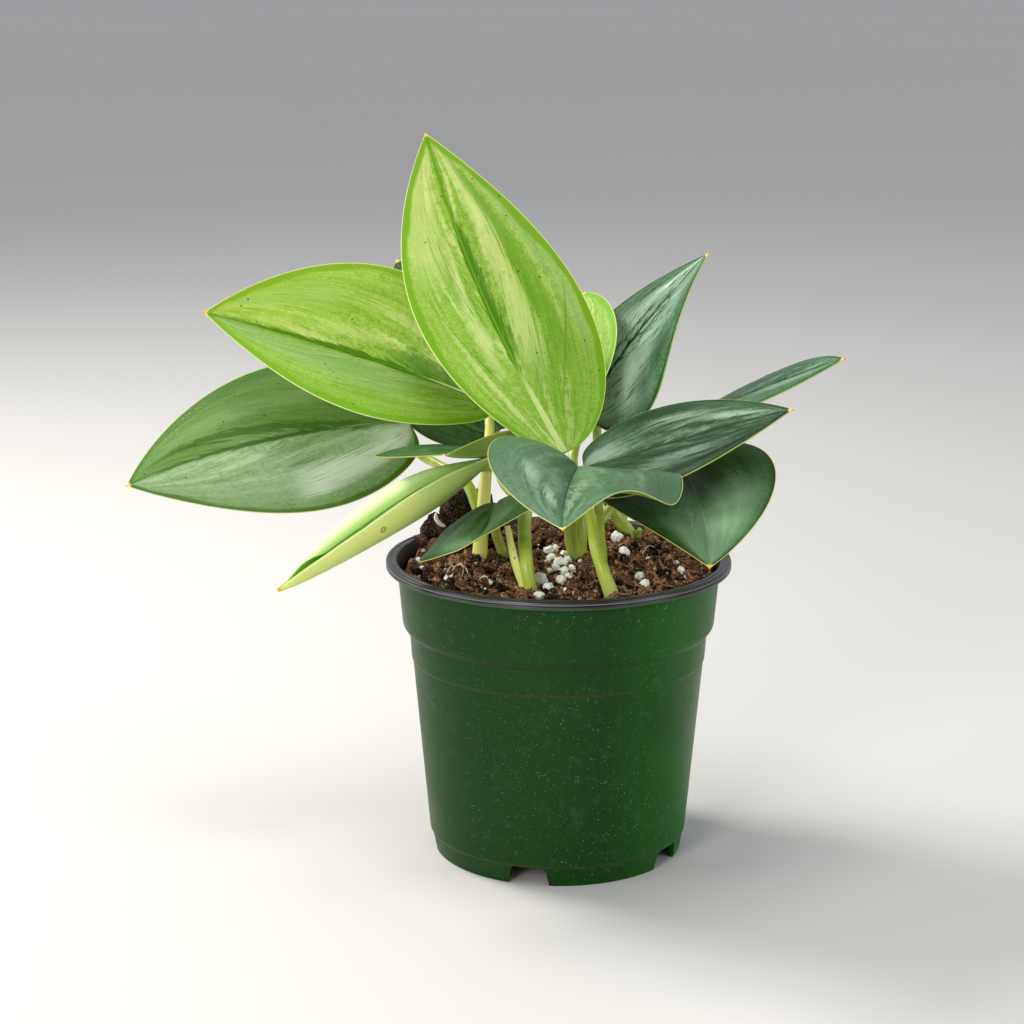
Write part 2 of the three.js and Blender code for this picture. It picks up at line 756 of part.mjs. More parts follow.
function mixSolid() {
  const random = randomFrom(19);
  let mix = solidOf(plugGeometry(random));
  const spot = (reach) => {
    const angle = 2 * Math.PI * random();
    const radius = reach * Math.sqrt(random());
    return [radius * Math.cos(angle), radius * Math.sin(angle)];
  };
  const chips = [...BARK_IN_HEAP];
  for (let i = 0; i < BARK_COUNT; i += 1) {
    const [x, y] = spot(44);
    const length = BARK_LENGTH * (0.5 + 0.6 * random());
    const width = length * (0.4 + 0.25 * random());
    const z = soilHeight(x, y, 0) - width * 0.05;
    chips.push({ x, y, z, length, width, tilt: 40 * (random() - 0.5), turn: 360 * random() });
  }
  for (const chip of chips) mix = mix.add(solidOf(barkGeometry(chip)));
  for (let i = 0; i < PERLITE_COUNT + PERLITE_HEAP.count; i += 1) {
    const heaped = i < PERLITE_HEAP.count;
    const [dx, dy] = spot(heaped ? PERLITE_HEAP.spread : 48);
    const x = heaped ? PERLITE_HEAP.x + dx : dx;
    const y = heaped ? PERLITE_HEAP.y + dy : dy;
    const size = PERLITE_SIZE * (0.8 + 0.4 * random());
    const z = soilHeight(x, y, 0.2) + (heaped ? 0.6 : 0);
    mix = mix.add(solidOf(perliteGeometry({ x, y, z, size }, random)));
  }
  for (const shoot of Object.values(SHOOTS)) {
    for (const limb of shoot.limbs) {
      if (!limb.rooted) continue;
      const wide = [limb.radii[0], limb.radii[0]];
      const hole = rootPoints(limb, HOLE_CLEARANCE, 1 + HOLE_CLEARANCE);
      mix = mix.subtract(solidOf(limbGeometry(hole, wide, HOLE_CLEARANCE)));
    }
    for (const limb of shoot.limbs) {
      const points = limbPoints(limb);
      const back = points[0].clone().sub(points[1]).setLength(HOLE_CLEARANCE);
      points[0].add(back);
      mix = mix.subtract(solidOf(limbGeometry(points, limb.radii, HOLE_CLEARANCE)));
    }
  }
  const parts = mix.decompose();
  parts.sort((a, b) => b.volume() - a.volume());
  return parts[0];
}

function addPiece(group, name, geometry, look) {
  const mesh = new THREE.Mesh(geometry, new THREE.MeshStandardMaterial({ metalness: 0, ...look }));
  mesh.name = name;
  group.add(mesh);
}

const plant = new THREE.Group();
addPiece(plant, "nursery_pot", geometryOf(potSolid()), { color: 0x1f5a2c, roughness: 0.5 });
addPiece(plant, "potting_mix", geometryOf(mixSolid()), { color: 0x3a2a1e, roughness: 0.95 });
for (const [name, shoot] of Object.entries(SHOOTS)) {
  addPiece(plant, name, geometryOf(shootSolid(shoot)), { color: shoot.colour, roughness: 0.5 });
}
for (const [name, spec] of Object.entries(LEAVES)) {
  const blade = sheetGeometry(bladeGrid(spec), BLADE);
  addPiece(plant, name, blade, { color: spec.colour, roughness: 0.45 });
}
const roll = sheetGeometry(rollGrid(), ROLL_SHEET);
addPiece(plant, "leaf_rolled_young", roll, { color: ROLL_COLOUR, roughness: 0.45 });

export default plant;
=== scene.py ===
"""A potted moonlight scindapsus: smooth pointed leaves on short petioles, in a green nursery pot.

Lengths in the tables are millimetres in the frame of the plant: the foot of the pot stands on
z = 0, the pot's axis is the z axis, and the front of the plant looks along -y. Angles are degrees.
"""

import math

import bmesh
import bpy
import numpy as np
from mathutils import Matrix, Vector, noise


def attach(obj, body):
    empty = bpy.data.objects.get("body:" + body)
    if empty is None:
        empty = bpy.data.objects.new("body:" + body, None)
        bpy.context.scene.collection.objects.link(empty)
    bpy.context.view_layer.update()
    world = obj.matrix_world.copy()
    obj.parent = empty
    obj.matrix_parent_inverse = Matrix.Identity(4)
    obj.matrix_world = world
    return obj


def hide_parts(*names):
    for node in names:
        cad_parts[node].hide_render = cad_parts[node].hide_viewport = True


bl_info = {
    "name": "Potted Moonlight Scindapsus",
    "version": (1, 0, 0),
    "blender": (4, 5, 0),
    "location": "View3D > Sidebar > Plant",
    "description": "Grows the leaves, stems, potting mix and pot around the frame of the plant",
    "category": "Object",
}

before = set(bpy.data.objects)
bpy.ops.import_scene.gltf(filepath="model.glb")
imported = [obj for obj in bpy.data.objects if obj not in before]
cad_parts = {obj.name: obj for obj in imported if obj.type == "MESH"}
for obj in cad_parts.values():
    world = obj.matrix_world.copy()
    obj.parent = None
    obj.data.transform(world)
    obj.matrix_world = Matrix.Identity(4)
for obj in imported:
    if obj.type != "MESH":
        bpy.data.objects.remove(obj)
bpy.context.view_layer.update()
MM = 0.001


def tint(red, green, blue):
    """The linear colour of an 8-bit screen colour."""
    shades = []
    for level in (red, green, blue):
        share = level / 255
        shades.append(share / 12.92 if share <= 0.04045 else ((share + 0.055) / 1.055) ** 2.4)
    return tuple(shades)


# Where each leaf grows. base: where the blade meets the petiole; aim: heading, rise and roll of
# the midrib there; bend: how far it droops, sways and twists by the tip; fold and curl: how the
# left and right halves lift and curl; belly: where the blade is widest; tip: how long it is drawn
# out; point: how far before the tip the margins start to draw in; lobe: how far the heart-shaped
# base reaches back; skew: how much wider the right half is; wing: a corner on the right margin;
# wave: the lift of a wavy margin; relief: how deeply the veins press into the blade; rib: how far
# the midrib stands out at the base. Then the colours: painted_half_light: how bright the left and
# right halves are, which is painted light and shade as the light falls on each half; dim: how far
# they turn to the shade colour, partly painted shade on a half in shadow and partly its own darker
# hue; stripe and keel: the half widths of the band along the midrib and of the pale line on it,
# where 0 is none; strokes: bands of colour as (colour, place across at the base, drift, spread,
# start, end, strength), among them painted sheen where a leaf catches the light and painted shade
# in its hollows.
LEAVES = {
    "leaf_upright_lime": {
        "look": "lime", "base": (1.5, -4.5, 136.5), "aim": (135, 48, -3), "length": 124.3,
        "width": 64.5, "bend": (-16, 10, -36), "fold": (18, 8), "curl": (-7, 12),
        "belly": 0.36, "tip": 0.95, "lobe": 0.5, "skew": 0.01, "relief": 0.12, "rib": 0.5,
        "painted_half_light": (1.1, 0.95), "keel": 1.5,
        "strokes": (
            ("streak", -0.6, 0, 0.4, 0.6, 0.97, 0.6), ("streak", -0.3, 0, 0.12, 0.3, 0.62, 0.8),
            ("streak", 0.1, 0.42, 0.18, 0.28, 0.92, 0.66), ("shade", 0.5, 0, 0.55, 0, 0.3, 0.45),
            ("shade", 0.56, 0.03, 0.15, 0.28, 0.88, 0.7), ("silver_and_sheen", 0.84, 0, 0.1, 0.3, 0.85, 0.45),
            ("rib", 0.04, 0, 0.09, 0.34, 0.7, 0.9), ("shade", -0.36, 0, 0.06, 0.5, 0.62, 0.7),
            ("rib", 0.15, 1.58, 0.014, 0.1, 0.44, 0.5), ("rib", -0.1, -1.3, 0.012, 0.12, 0.5, 0.4),
        ),
    },
    "leaf_left_lime": {
        "look": "lime", "base": (-21, 16, 148.5), "aim": (171, 22, -56), "length": 103,
        "width": 60, "bend": (-15, -16, 1), "fold": (37, 28), "curl": (-18, -4),
        "belly": 0.43, "tip": 0.92, "lobe": 4, "skew": 0.06, "relief": 0.12,
        "dim": (0.4, 0), "painted_half_light": (1.04, 1.18),
        "strokes": (
            ("silver", 0.45, 0, 0.6, 0.62, 1.1, 0.6), ("silver", 0.6, 0, 0.3, 0, 1.1, 0.4),
            ("streak", 0.22, 0, 0.1, 0.42, 0.6, 0.4), ("rib", 0.12, 0, 0.15, 0, 0.34, 0.85),
            ("silver_and_sheen", -0.35, 0, 0.35, 0.3, 0.92, 0.5), ("silver_and_sheen", 0.6, 0, 0.2, 0.6, 0.9, 0.25),
        ),
    },
    "leaf_behind_lime": {
        "look": "lime", "base": (3, 26, 140), "aim": (83, 45, -42), "length": 60,
        "width": 47, "bend": (13, -3, -2), "fold": (26, 11), "curl": (-9, -11),
        "belly": 0.4, "tip": 0.93, "lobe": 4, "skew": 0.08, "relief": 0.12, "painted_half_light": (1.05, 1.05),
    },
    "leaf_lower_left": {
        "look": "silver", "base": (-50.5, 28, 141), "aim": (195, -1, -52), "length": 99,
        "width": 57, "bend": (18, -14, 1), "fold": (11, 12), "curl": (-19, -19),
        "belly": 0.38, "tip": 0.9, "lobe": 7, "skew": -0.05, "relief": 0.15,
        "dim": (0, 0.75), "painted_half_light": (0.79, 1.05),
        "strokes": (
            ("silver_and_sheen", -0.45, 0, 0.6, 0.05, 0.97, 0.14), ("rib", -0.1, 0.54, 0.09, 0.15, 0.85, 0.8),
            ("silver_and_sheen", -0.46, -0.5, 0.24, 0.03, 0.4, 0.85),
            ("streak", 0.5, 0, 0.16, 0.15, 0.85, 0.25),
            ("rib", 0.92, 0, 0.14, 0.3, 0.9, 0.6), ("silver_and_sheen", -0.4, 0, 0.4, 0, 0.1, 0.8),
        ),
    },
    "leaf_edge_on": {
        "look": "deep", "base": (-18.4, -1, 135.7), "aim": (-120.4, 8.6, -3.2), "length": 48.9,
        "width": 52.5, "bend": (-7.9, -16.8, 2.3), "fold": (64.8, 11.1), "curl": (-35.6, -38.6),
        "belly": 0.295, "tip": 0.94, "lobe": 4, "skew": 0.49, "relief": 0.1,
    },
    "leaf_front_wavy": {
        "look": "blue", "base": (5.5, -24, 136.5), "aim": (-99, -1, -10), "length": 72,
        "width": 65, "bend": (5, -8, 25), "fold": (19, 45), "curl": (-33, -42),
        "belly": 0.35, "tip": 1.06, "lobe": 4, "skew": -0.12, "wave": 5.5, "relief": 0.1,
        "painted_half_light": (0.8, 0.92),
        "strokes": (
            ("silver_and_sheen", 0.5, 0, 0.14, 0.42, 0.56, 0.55), ("silver_and_sheen", 0.26, 0, 0.1, 0.6, 0.74, 0.7),
            ("silver_and_sheen", -0.12, 0, 0.07, 0.4, 0.8, 0.35), ("rib", 0.08, 0, 0.05, 0.25, 0.42, 0.6),
            ("shade", -0.8, 0, 0.16, 0.25, 0.6, 0.4),
        ),
    },
    "leaf_right_upper": {
        "look": "dark", "base": (8, -5, 131.5), "aim": (-16, 20, 25), "length": 73,
        "width": 50, "bend": (3, 1, -5), "fold": (10, 10), "curl": (-20, -20),
        "belly": 0.35, "tip": 0.93, "lobe": 4.5, "skew": 0.02, "relief": 0.35,
        "painted_half_light": (1.0, 0.6),
        "strokes": (
            ("silver_and_sheen", -0.25, 0, 0.3, 0, 0.14, 0.6), ("silver_and_sheen", -0.35, 0, 0.12, 0.62, 0.86, 0.6),
            ("silver_and_sheen", 0.5, 0, 0.12, 0.3, 0.6, 0.4), ("silver_and_sheen", -0.55, 0, 0.12, 0.35, 0.6, 0.4),
            ("shade", -0.8, 0, 0.2, 0.2, 0.5, 0.8), ("rib", -0.02, 0, 0.06, 0.2, 0.85, 0.95),
            ("rib", 0.78, 0, 0.1, 0.4, 0.8, 0.95), ("rib", -0.35, 0.2, 0.05, 0.3, 0.62, 0.9),
            ("rib", 0.26, 0.1, 0.06, 0.2, 0.5, 0.9), ("rib", -0.2, 0, 0.04, 0.5, 0.8, 0.8),
        ),
    },
    "leaf_right_drooping": {
        "look": "deep", "base": (38.5, 13, 130.5), "aim": (-78, -4, 15), "length": 79.5,
        "width": 59, "bend": (23, 16, -15), "fold": (24, 14), "curl": (-31, -21),
        "belly": 0.36, "tip": 0.93, "lobe": 4, "skew": 0.05, "relief": 0.12,
        "stripe": 0, "keel": 0, "dim": (0, 0.3), "painted_half_light": (1.15, 1.1),
        "strokes": (
            ("silver_and_sheen", -0.35, 0, 0.7, 0.5, 1.1, 0.5), ("silver_and_sheen", 0.4, 0, 0.4, 0.72, 1.1, 0.4),
            ("silver_and_sheen", 0, 0, 0.018, 0.35, 0.8, 0.7),
        ),
    },
    "leaf_back_right": {
        "look": "dark", "base": (9.5, 38, 141), "aim": (13, 62, 41), "length": 72.5,
        "width": 54, "bend": (-11, 33, -30), "fold": (-2, 19), "curl": (-29, -13),
        "belly": 0.32, "tip": 1.01, "lobe": 4, "skew": 0.09, "relief": 0.2,
        "painted_half_light": (1.3, 1.36),
        "strokes": (
            ("silver_and_sheen", 0, 0, 1, 0, 0.4, 0.8), ("silver_and_sheen", 0, 0, 0.8, 0.45, 0.98, 0.3),
            ("silver_and_sheen", -0.38, 0, 0.07, 0.66, 0.98, 0.9), ("rib", -0.15, 0, 0.035, 0.36, 0.64, 0.95),
            ("rib", -0.6, 0, 0.07, 0.55, 0.8, 0.8), ("rib", 0.12, 0, 0.03, 0.4, 0.8, 0.8),
            ("shade", 0.66, 0, 0.2, 0.3, 0.6, 0.6),
        ),
    },
    "leaf_far_right": {
        "look": "dark", "base": (37, 33, 136.5), "aim": (-27, 27, 3), "length": 74,
        "width": 43.5, "bend": (3, 11, 13), "fold": (10, 10), "curl": (-20, -21),
        "belly": 0.4, "tip": 0.93, "lobe": 4, "skew": 0, "relief": 0.2,
        "painted_half_light": (1.36, 1.34),
        "strokes": (
            ("silver_and_sheen", 0.4, 0, 0.2, 0.5, 0.9, 0.25), ("rib", -0.45, 0, 0.07, 0.45, 0.8, 0.9),
            ("rib", 0.5, 0, 0.06, 0.3, 0.6, 0.7),
        ),
    },
    "leaf_behind_dark": {
        "look": "deep", "base": (-20.5, 44, 134), "aim": (130, 43, -32), "length": 79.5,
        "width": 49, "bend": (0, 1, 0), "fold": (10, 12), "curl": (-17, -15),
        "belly": 0.35, "tip": 0.92, "lobe": 4.5, "skew": -0.15, "relief": 0.15,
    },
    "leaf_low_left": {
        "look": "deep", "base": (-20.5, -15, 122.5), "aim": (-99, -9, 27), "length": 48.5,
        "width": 49, "bend": (-19, -9, 11), "fold": (17, 20), "curl": (-45, -30),
        "belly": 0.4, "tip": 1.05, "lobe": 5.5, "skew": -0.04, "wing": 0.3, "relief": 0.2,
        "point": 4.5, "dim": (0, 0.6), "painted_half_light": (1.2, 1.1),
        "strokes": (
            ("silver_and_sheen", 0.6, 0, 0.4, 0.35, 0.9, 0.25), ("silver_and_sheen", -0.4, 0, 0.3, 0.45, 0.8, 0.25),
            ("streak", 0.3, 0, 0.06, 0.1, 0.45, 0.5),
        ),
    },
}
LIME_LEAVES = [name for name, leaf in LEAVES.items() if leaf["look"] == "lime"]
GREEN_LEAVES = [name for name in LEAVES if name not in LIME_LEAVES]

# The colours of a blade. silver_and_sheen: the palest silver, with a painted sheen where the blade
# catches the light; rib: the stripe along the midrib; rim: the band inside the margin; silver and
# streak: the pale field and its brighter streaks; shade: the dim streaks; fleck: the small marks;
# keel: the midrib itself; edge: the margin; under: the lower side. Then the half width of the
# stripe, the width of the band, how ragged both are, how many streaks run out from the midrib, how
# strong the torn marks and the fine grain are, how much light shines through and how much the
# blade shines. Last comes the slot it belongs to.
LOOKS = {
    "lime": {
        "silver_and_sheen": (142, 178, 112), "rib": (62, 116, 0), "rim": (98, 152, 6),
        "silver": (130, 169, 54), "streak": (184, 201, 124), "shade": (90, 144, 22),
        "fleck": (58, 104, 14), "keel": (192, 208, 136), "edge": (206, 216, 140),
        "under": (140, 172, 62), "stripe": 1.5, "band": 2.4, "ragged": 3.6, "streaks": 6.0,
        "torn": 0.4, "grain": 0.24, "glow": 0.3, "specular": 0.16, "slot": "leaf_lime",
    },
    "silver": {
        "silver_and_sheen": (206, 226, 198), "rib": (42, 86, 8), "rim": (58, 108, 18),
        "silver": (106, 148, 84), "streak": (140, 172, 120), "shade": (78, 118, 42),
        "fleck": (38, 70, 24), "keel": (120, 150, 66), "edge": (168, 180, 90),
        "under": (140, 164, 84), "stripe": 0.9, "band": 1.7, "ragged": 2.0, "streaks": 7.0,
        "torn": 0.4, "grain": 0.18, "glow": 0.12, "specular": 0.26, "slot": "leaf_silver_green",
    },
    "dark": {
        "silver_and_sheen": (148, 172, 154), "rib": (10, 38, 12), "rim": (16, 54, 14),
        "silver": (46, 78, 50), "streak": (92, 122, 98), "shade": (22, 56, 22),
        "fleck": (8, 30, 12), "keel": (34, 72, 28), "edge": (150, 168, 74),
        "under": (96, 120, 40), "stripe": 0.8, "band": 1.4, "ragged": 3.0, "streaks": 9.0,
        "torn": 1.0, "grain": 0.55, "glow": 0.08, "specular": 0.08, "slot": "leaf_dark",
    },
    "deep": {
        "silver_and_sheen": (116, 150, 116), "rib": (12, 40, 8), "rim": (18, 56, 10),
        "silver": (44, 82, 38), "streak": (76, 110, 70), "shade": (26, 64, 12),
        "fleck": (12, 34, 12), "keel": (84, 118, 62), "edge": (176, 176, 80),
        "under": (142, 180, 78), "stripe": 0.7, "band": 0.9, "ragged": 2.4, "streaks": 4.0,
        "torn": 0.15, "grain": 0.1, "glow": 0.08, "specular": 0.2, "slot": "leaf_dark",
    },
    "blue": {
        "silver_and_sheen": (166, 194, 172), "rib": (42, 78, 44), "rim": (52, 90, 52),
        "silver": (70, 106, 76), "streak": (104, 138, 108), "shade": (42, 82, 50),
        "fleck": (26, 56, 34), "keel": (70, 104, 58), "edge": (176, 186, 104),
        "under": (104, 128, 46), "stripe": 0.4, "band": 0.7, "ragged": 1.6, "streaks": 4.0,
        "torn": 0.3, "grain": 0.3, "glow": 0.08, "specular": 0.26, "slot": "leaf_dark",
    },
}

# How finely blades, the rolled leaf and stems are made, and the plain half width of a keel. The
# margins of a plain blade draw in over FINE_POINT, the corner of a margin lies at WING_PLACE along
# it, and a stroke narrower than FINE_STROKE is a clean line.
MIDRIB_STEPS = 56
BLADE_ROWS = 120
BLADE_HALF_COLUMNS = 22
ROLL_STEPS = 120
STEM_SIDES = 20
PLAIN_KEEL = 0.5
FINE_POINT = 0.8
WING_PLACE, WING_SPREAD = 0.54, 0.11
FINE_STROKE = 0.02

# The youngest leaf is still rolled up: a sheet wound about its own axis.
ROLL = {
    "base": (-19, -9.5, 137.8), "tip": (-89.5, -45, 101), "bow": 3.6, "radius": 8,
    "tip_radius": 0.8, "belly": 0.4375, "taper": 0.85, "pitch": 2.4, "sheet": 0.5,
    # How far the sheet is wound, where its free margin lies and how far that gapes, along the leaf.
    "turn": ((0, 0.2, 0.7, 0.8, 0.88, 0.96, 1), (380, 420, 410, 350, 300, 290, 320)),
    "edge": ((0, 0.15, 0.27, 0.4, 0.5, 0.63, 0.79, 1), (148, 151, 152, 154, 157, 161, 160, 152)),
    "gape": ((0, 0.2, 0.4, 0.6, 0.8, 0.93, 1), (0.4, 1.3, 1.9, 1.7, 1.4, 2.4, 0.4)),
}

# Each shoot is a bundle of limbs. path: the points a limb runs through, up from the mix; end: the
# last point, if it carries no leaf; radii: at its foot and at its top; leaf: the leaf it carries;
# rooted: it grows up from the mix; dry: how far its skin has paled.
SHOOTS = {
    "shoot_left": [
        {"path": [(-26.5, 8.5, 96), (-25, 8, 116), (-24, 10, 129.5), (-23, 14, 140)],
         "radii": (3.0, 1.3), "leaf": "leaf_left_lime", "rooted": True, "dry": 0.9},
        {"path": [(-26, 9, 112), (-31, 14, 122.5), (-41.5, 26, 126.5), (-47, 33, 128)],
         "radii": (2.0, 1.3), "leaf": "leaf_lower_left"},
        {"path": [(-25.5, 8.5, 112), (-25, 18, 121), (-23, 31, 126)],
         "radii": (2.0, 1.3), "leaf": "leaf_behind_dark"},
    ],
    "shoot_thin": [
        {"path": [(-18, 9.5, 96), (-21, 6, 108), (-20, 0, 116)],
         "radii": (1.9, 1.3), "leaf": "leaf_low_left", "rooted": True},
    ],
    "shoot_front_left": [
        {"path": [(-9.5, -33.5, 96), (-11, -31.5, 107), (-11.5, -19, 115.5), (-11, -6, 122),
                  (-15.5, -6.5, 133)],
         "end": (-25.6, -12.8, 134.3), "radii": (2.3, 2.1), "rooted": True},
        {"path": [(-11, -7, 121), (-17, -4, 124.5)], "radii": (1.7, 1.3), "leaf": "leaf_edge_on"},
        {"path": [(-10.5, -32.5, 97), (-14.5, -32, 107)], "end": (-17, -29, 118),
         "radii": (1.9, 0.9), "dry": 0.8},
    ],
    "shoot_centre": [
        {"path": [(6, 8.5, 96), (4, 4, 108.5), (4, 1, 119.5)],
         "radii": (2.9, 1.3), "leaf": "leaf_upright_lime", "rooted": True},
        {"path": [(7, 9, 98), (7.5, 8.5, 107.5), (6.5, 12, 118.5), (5, 19, 129)],
         "radii": (2.6, 1.3), "leaf": "leaf_behind_lime"},
    ],
    "shoot_front": [
        {"path": [(16.5, -38.5, 96), (13.5, -40, 105.5), (11, -36, 113), (9.5, -31, 122)],
         "radii": (2.8, 1.3), "leaf": "leaf_front_wavy", "rooted": True},
    ],
    "shoot_right": [
        {"path": [(14.5, -1, 96), (13.5, -2, 110), (13, -4, 119.5)],
         "radii": (2.4, 1.3), "leaf": "leaf_right_upper", "rooted": True},
        {"path": [(13.5, -2, 113), (22, 6, 120), (31, 12, 123.5)],
         "radii": (1.8, 1.3), "leaf": "leaf_right_drooping"},
    ],
    "shoot_back": [
        {"path": [(27, 31.5, 96), (24.5, 30, 101.5), (20.5, 28, 107.5), (15, 30, 120)],
         "radii": (2.9, 1.3), "leaf": "leaf_back_right", "rooted": True},
        {"path": [(22, 28.5, 105), (25, 32, 118), (31, 33, 127)],
         "radii": (2.0, 1.3), "leaf": "leaf_far_right"},
        {"path": [(26.5, 31.5, 97), (27.5, 29.5, 100)], "end": (28.5, 27.5, 103),
         "radii": (2.0, 0.8)},
    ],
}
# How deep a root stands in the mix. A petiole meets its blade SEAT_FORWARD along the midrib and
# SEAT_BELOW under it, and comes up to it over the last SEAT_DROP.
ROOT_DEPTH = 14
SEAT_FORWARD = 2
SEAT_BELOW = 0.5
SEAT_DROP = 5

# The section of the pot as (radius, height, corner rounding): from the hub of its floor up its
# outer side to the lip, and then back down inside. The lip's lower edge is at LIP_FOOT.
POT_OUTSIDE = (
    (0, 0, 0), (12, 0, 0.6), (15, 6.5, 0.6), (40.5, 6.5, 0), (40.5, 0, 0.3), (41.8, 0, 0.4),
    (42.9, 6.2, 0.2), (43.4, 6.9, 0.3), (48.8, 66.5, 0.25), (49.2, 67.1, 0.25),
    (49.8, 75.9, 0.3), (51.6, 77.7, 0.9), (52.1, 79.0, 0.8), (53.75, 97.4, 0.2),
    (54.3, 97.8, 0.1), (57.5, 97.8, 0.5), (57.5, 98.8, 0.15), (57.1, 99.05, 0.15),
    (57.5, 99.3, 0.15), (57.5, 100.5, 0.9), (56.2, 100.5, 0.12), (55.95, 100.2, 0.12),
    (55.5, 100.2, 0.12), (55.25, 100.5, 0.12),
)
POT_INSIDE = (
    (54.0, 100.5, 0.8), (52.5, 96.3, 0.5), (50.8, 78.5, 0.5), (48.5, 76, 0.5), (42.1, 7.8, 0.5),
    (13.7, 7.8, 0.5), (10.7, 1.3, 0.5), (0, 1.3, 0),
)
LIP_FOOT = 97.8
POT_SEGMENTS = 200
POT_CREASE = 35
# The notches in the foot and the slots in the floor, as outlines across x and z, and how far from
# the axis their cuts reach.
NOTCH_COUNT = 5
NOTCH_TURN = 14
NOTCH = ((-7, -1), (7, -1), (5.9, 5.2), (4.9, 6.5), (-4.9, 6.5), (-5.9, 5.2))
NOTCH_REACH = (33, 57)
SLOT = ((-4, 5), (4, 5), (4, 9), (-4, 9))
SLOT_REACH = (33, 39.5)

# The mix: its level, its mounds as x, y, height and spread, its edge, the rings that close it
# below as radius and height, and how many rings and segments its surface has.
SOIL_LEVEL = 97
MOUNDS = ((-34, 25, 10, 11), (-46, -8, -2.5, 10), (14, 42, 4, 30))
SOIL_EDGE = 51.7
SOIL_UNDERSIDE = ((50.3, 79), (48.0, 76.4), (41.6, 8.2), (0.4, 8.2))
SOIL_RINGS, SOIL_SEGMENTS = 104, 250
# How far from the axis the crumbs, chips, flakes and grains lie, the seeds of their places, and
# half the thickness of a flake.
CRUMB_REACH, CHIP_REACH, FLAKE_REACH, GRAIN_REACH = 49.5, 47, 46, 48
SOIL_SEED, BARK_SEED, PERLITE_SEED = 23, 31, 47
FLAKE_HALF = 0.22
# Bark heaped at the back left, as x, y, z, length, width, tilt, turn and shade.
CHIPS_IN_HEAP = (
    (-34, 23, 109, 22, 17, 65, 20, 0.05), (-40, 21, 103, 15, 13, 50, 110, 0.15),
    (-29, 27, 110, 17, 13, -50, 75, 0.05), (-25, 23, 104, 13, 8, 20, 140, 0.3),
    (-41, 13, 99.5, 13, 8, -20, 110, 0.9), (-45, 17, 101, 9, 6, 30, 60, 0.8),
    (-36, 14, 103, 12, 8, 40, -30, 0.35), (-31, 17, 101, 12, 8, 10, 40, 0.2),
)
# Perlite grains that catch the eye, as x, y and size.
GRAINS = (
    (-3, 11.1, 3.6), (-0.6, 13.4, 3.2), (2, 7.1, 3), (-2.1, 2.5, 3.4), (0.5, -3.2, 4.2),
    (3.2, 1.9, 2.8), (4.3, -8.7, 3), (1.2, -13.7, 4), (-0.9, -7.4, 3), (2.8, -18.1, 2.8),
    (0.4, -22.1, 3), (-3.8, -0.4, 2.2), (4.8, -15.1, 2.4), (-6.4, -24.4, 4.6), (-3.9, -31.8, 3.8),
    (-6.9, -40, 2.8), (-3, -9.6, 2), (-3.7, -36.7, 1.4), (1.8, -34, 2), (3.7, -35.5, 1.4),
    (20.5, 23.7, 3.8), (22.3, 9, 3.8), (26.2, -19.3, 3.6), (27.3, -27, 3), (30.2, 4.6, 1.8),
    (16, 44, 3.6), (-46.7, 4.4, 2.8), (-45.6, -0.1, 1.8), (-36.7, -18.5, 2.4),
    (-24.6, -21.7, 2.8), (-22.9, -24.8, 2.4), (-45.4, 13.6, 1.6), (-40.4, 19, 1.8),
    (39.2, -1.2, 2.2), (40.3, -9, 2.6), (42.4, -11.5, 1.8), (31.8, -7.5, 1.4), (-19.5, -7.1, 1.4),
    (-9.5, 4.3, 1.6), (14, 3.3, 1.5), (33.8, -29.3, 1.3), (-29, -31.8, 1.3),
)
# A curved perlite grain on the heap, and thin roots that surface from the mix.
CURVED_GRAIN = ((-41.2, 11, 112.6), (-41, 10.8, 110.6), (-39.8, 10.8, 109), (-38, 11, 108))
ROOTS = (
    ((-35.2, -14.9, 97), (-34.4, -5.5, 98.3), (-32.8, -2.8, 98.8), (-31.7, -6.6, 98.4),
     (-31.9, -16, 97)),
    ((-37.5, -11, 96.5), (-35.4, -3.9, 98.2), (-33.4, -8.5, 97)),
    ((-33.2, -1.6, 98.4), (-30.7, -8.2, 98.4), (-29.5, -17, 97)),
    ((27.6, 7.4, 98), (31.5, 16.3, 100), (35.6, 12.5, 98)),
)

# The lamps as name, place, size, the setting of their power, the share of it, and colour.
WARM, COOL = (1.0, 0.95, 0.87), (0.97, 0.985, 1.0)
LAMPS = (
    ("key_light", (-0.7, 0.4, 0.95), 0.45, "key", 1, WARM),
    ("top_light", (-0.1, -0.15, 1.25), 0.5, "fill", 1, WARM),
    ("left_light", (-1.1, -0.35, 0.35), 0.4, "fill", 0.6, COOL),
    ("right_light", (1.0, -0.5, 0.4), 0.4, "fill", 0.8, COOL),
    ("front_light", (-0.5, -1.0, 0.5), 0.4, "front", 1, WARM),
)
# What the lamps aim at, the colour of the sky, how far the floor reaches, and the camera's sensor
# and farthest sight.
LAMP_AIM = (0, 0, 0.12)
SKY = (0.93, 0.96, 1.0, 1)
FLOOR_REACH = 20000
SENSOR_WIDTH = 36
FAR_CLIP = 60


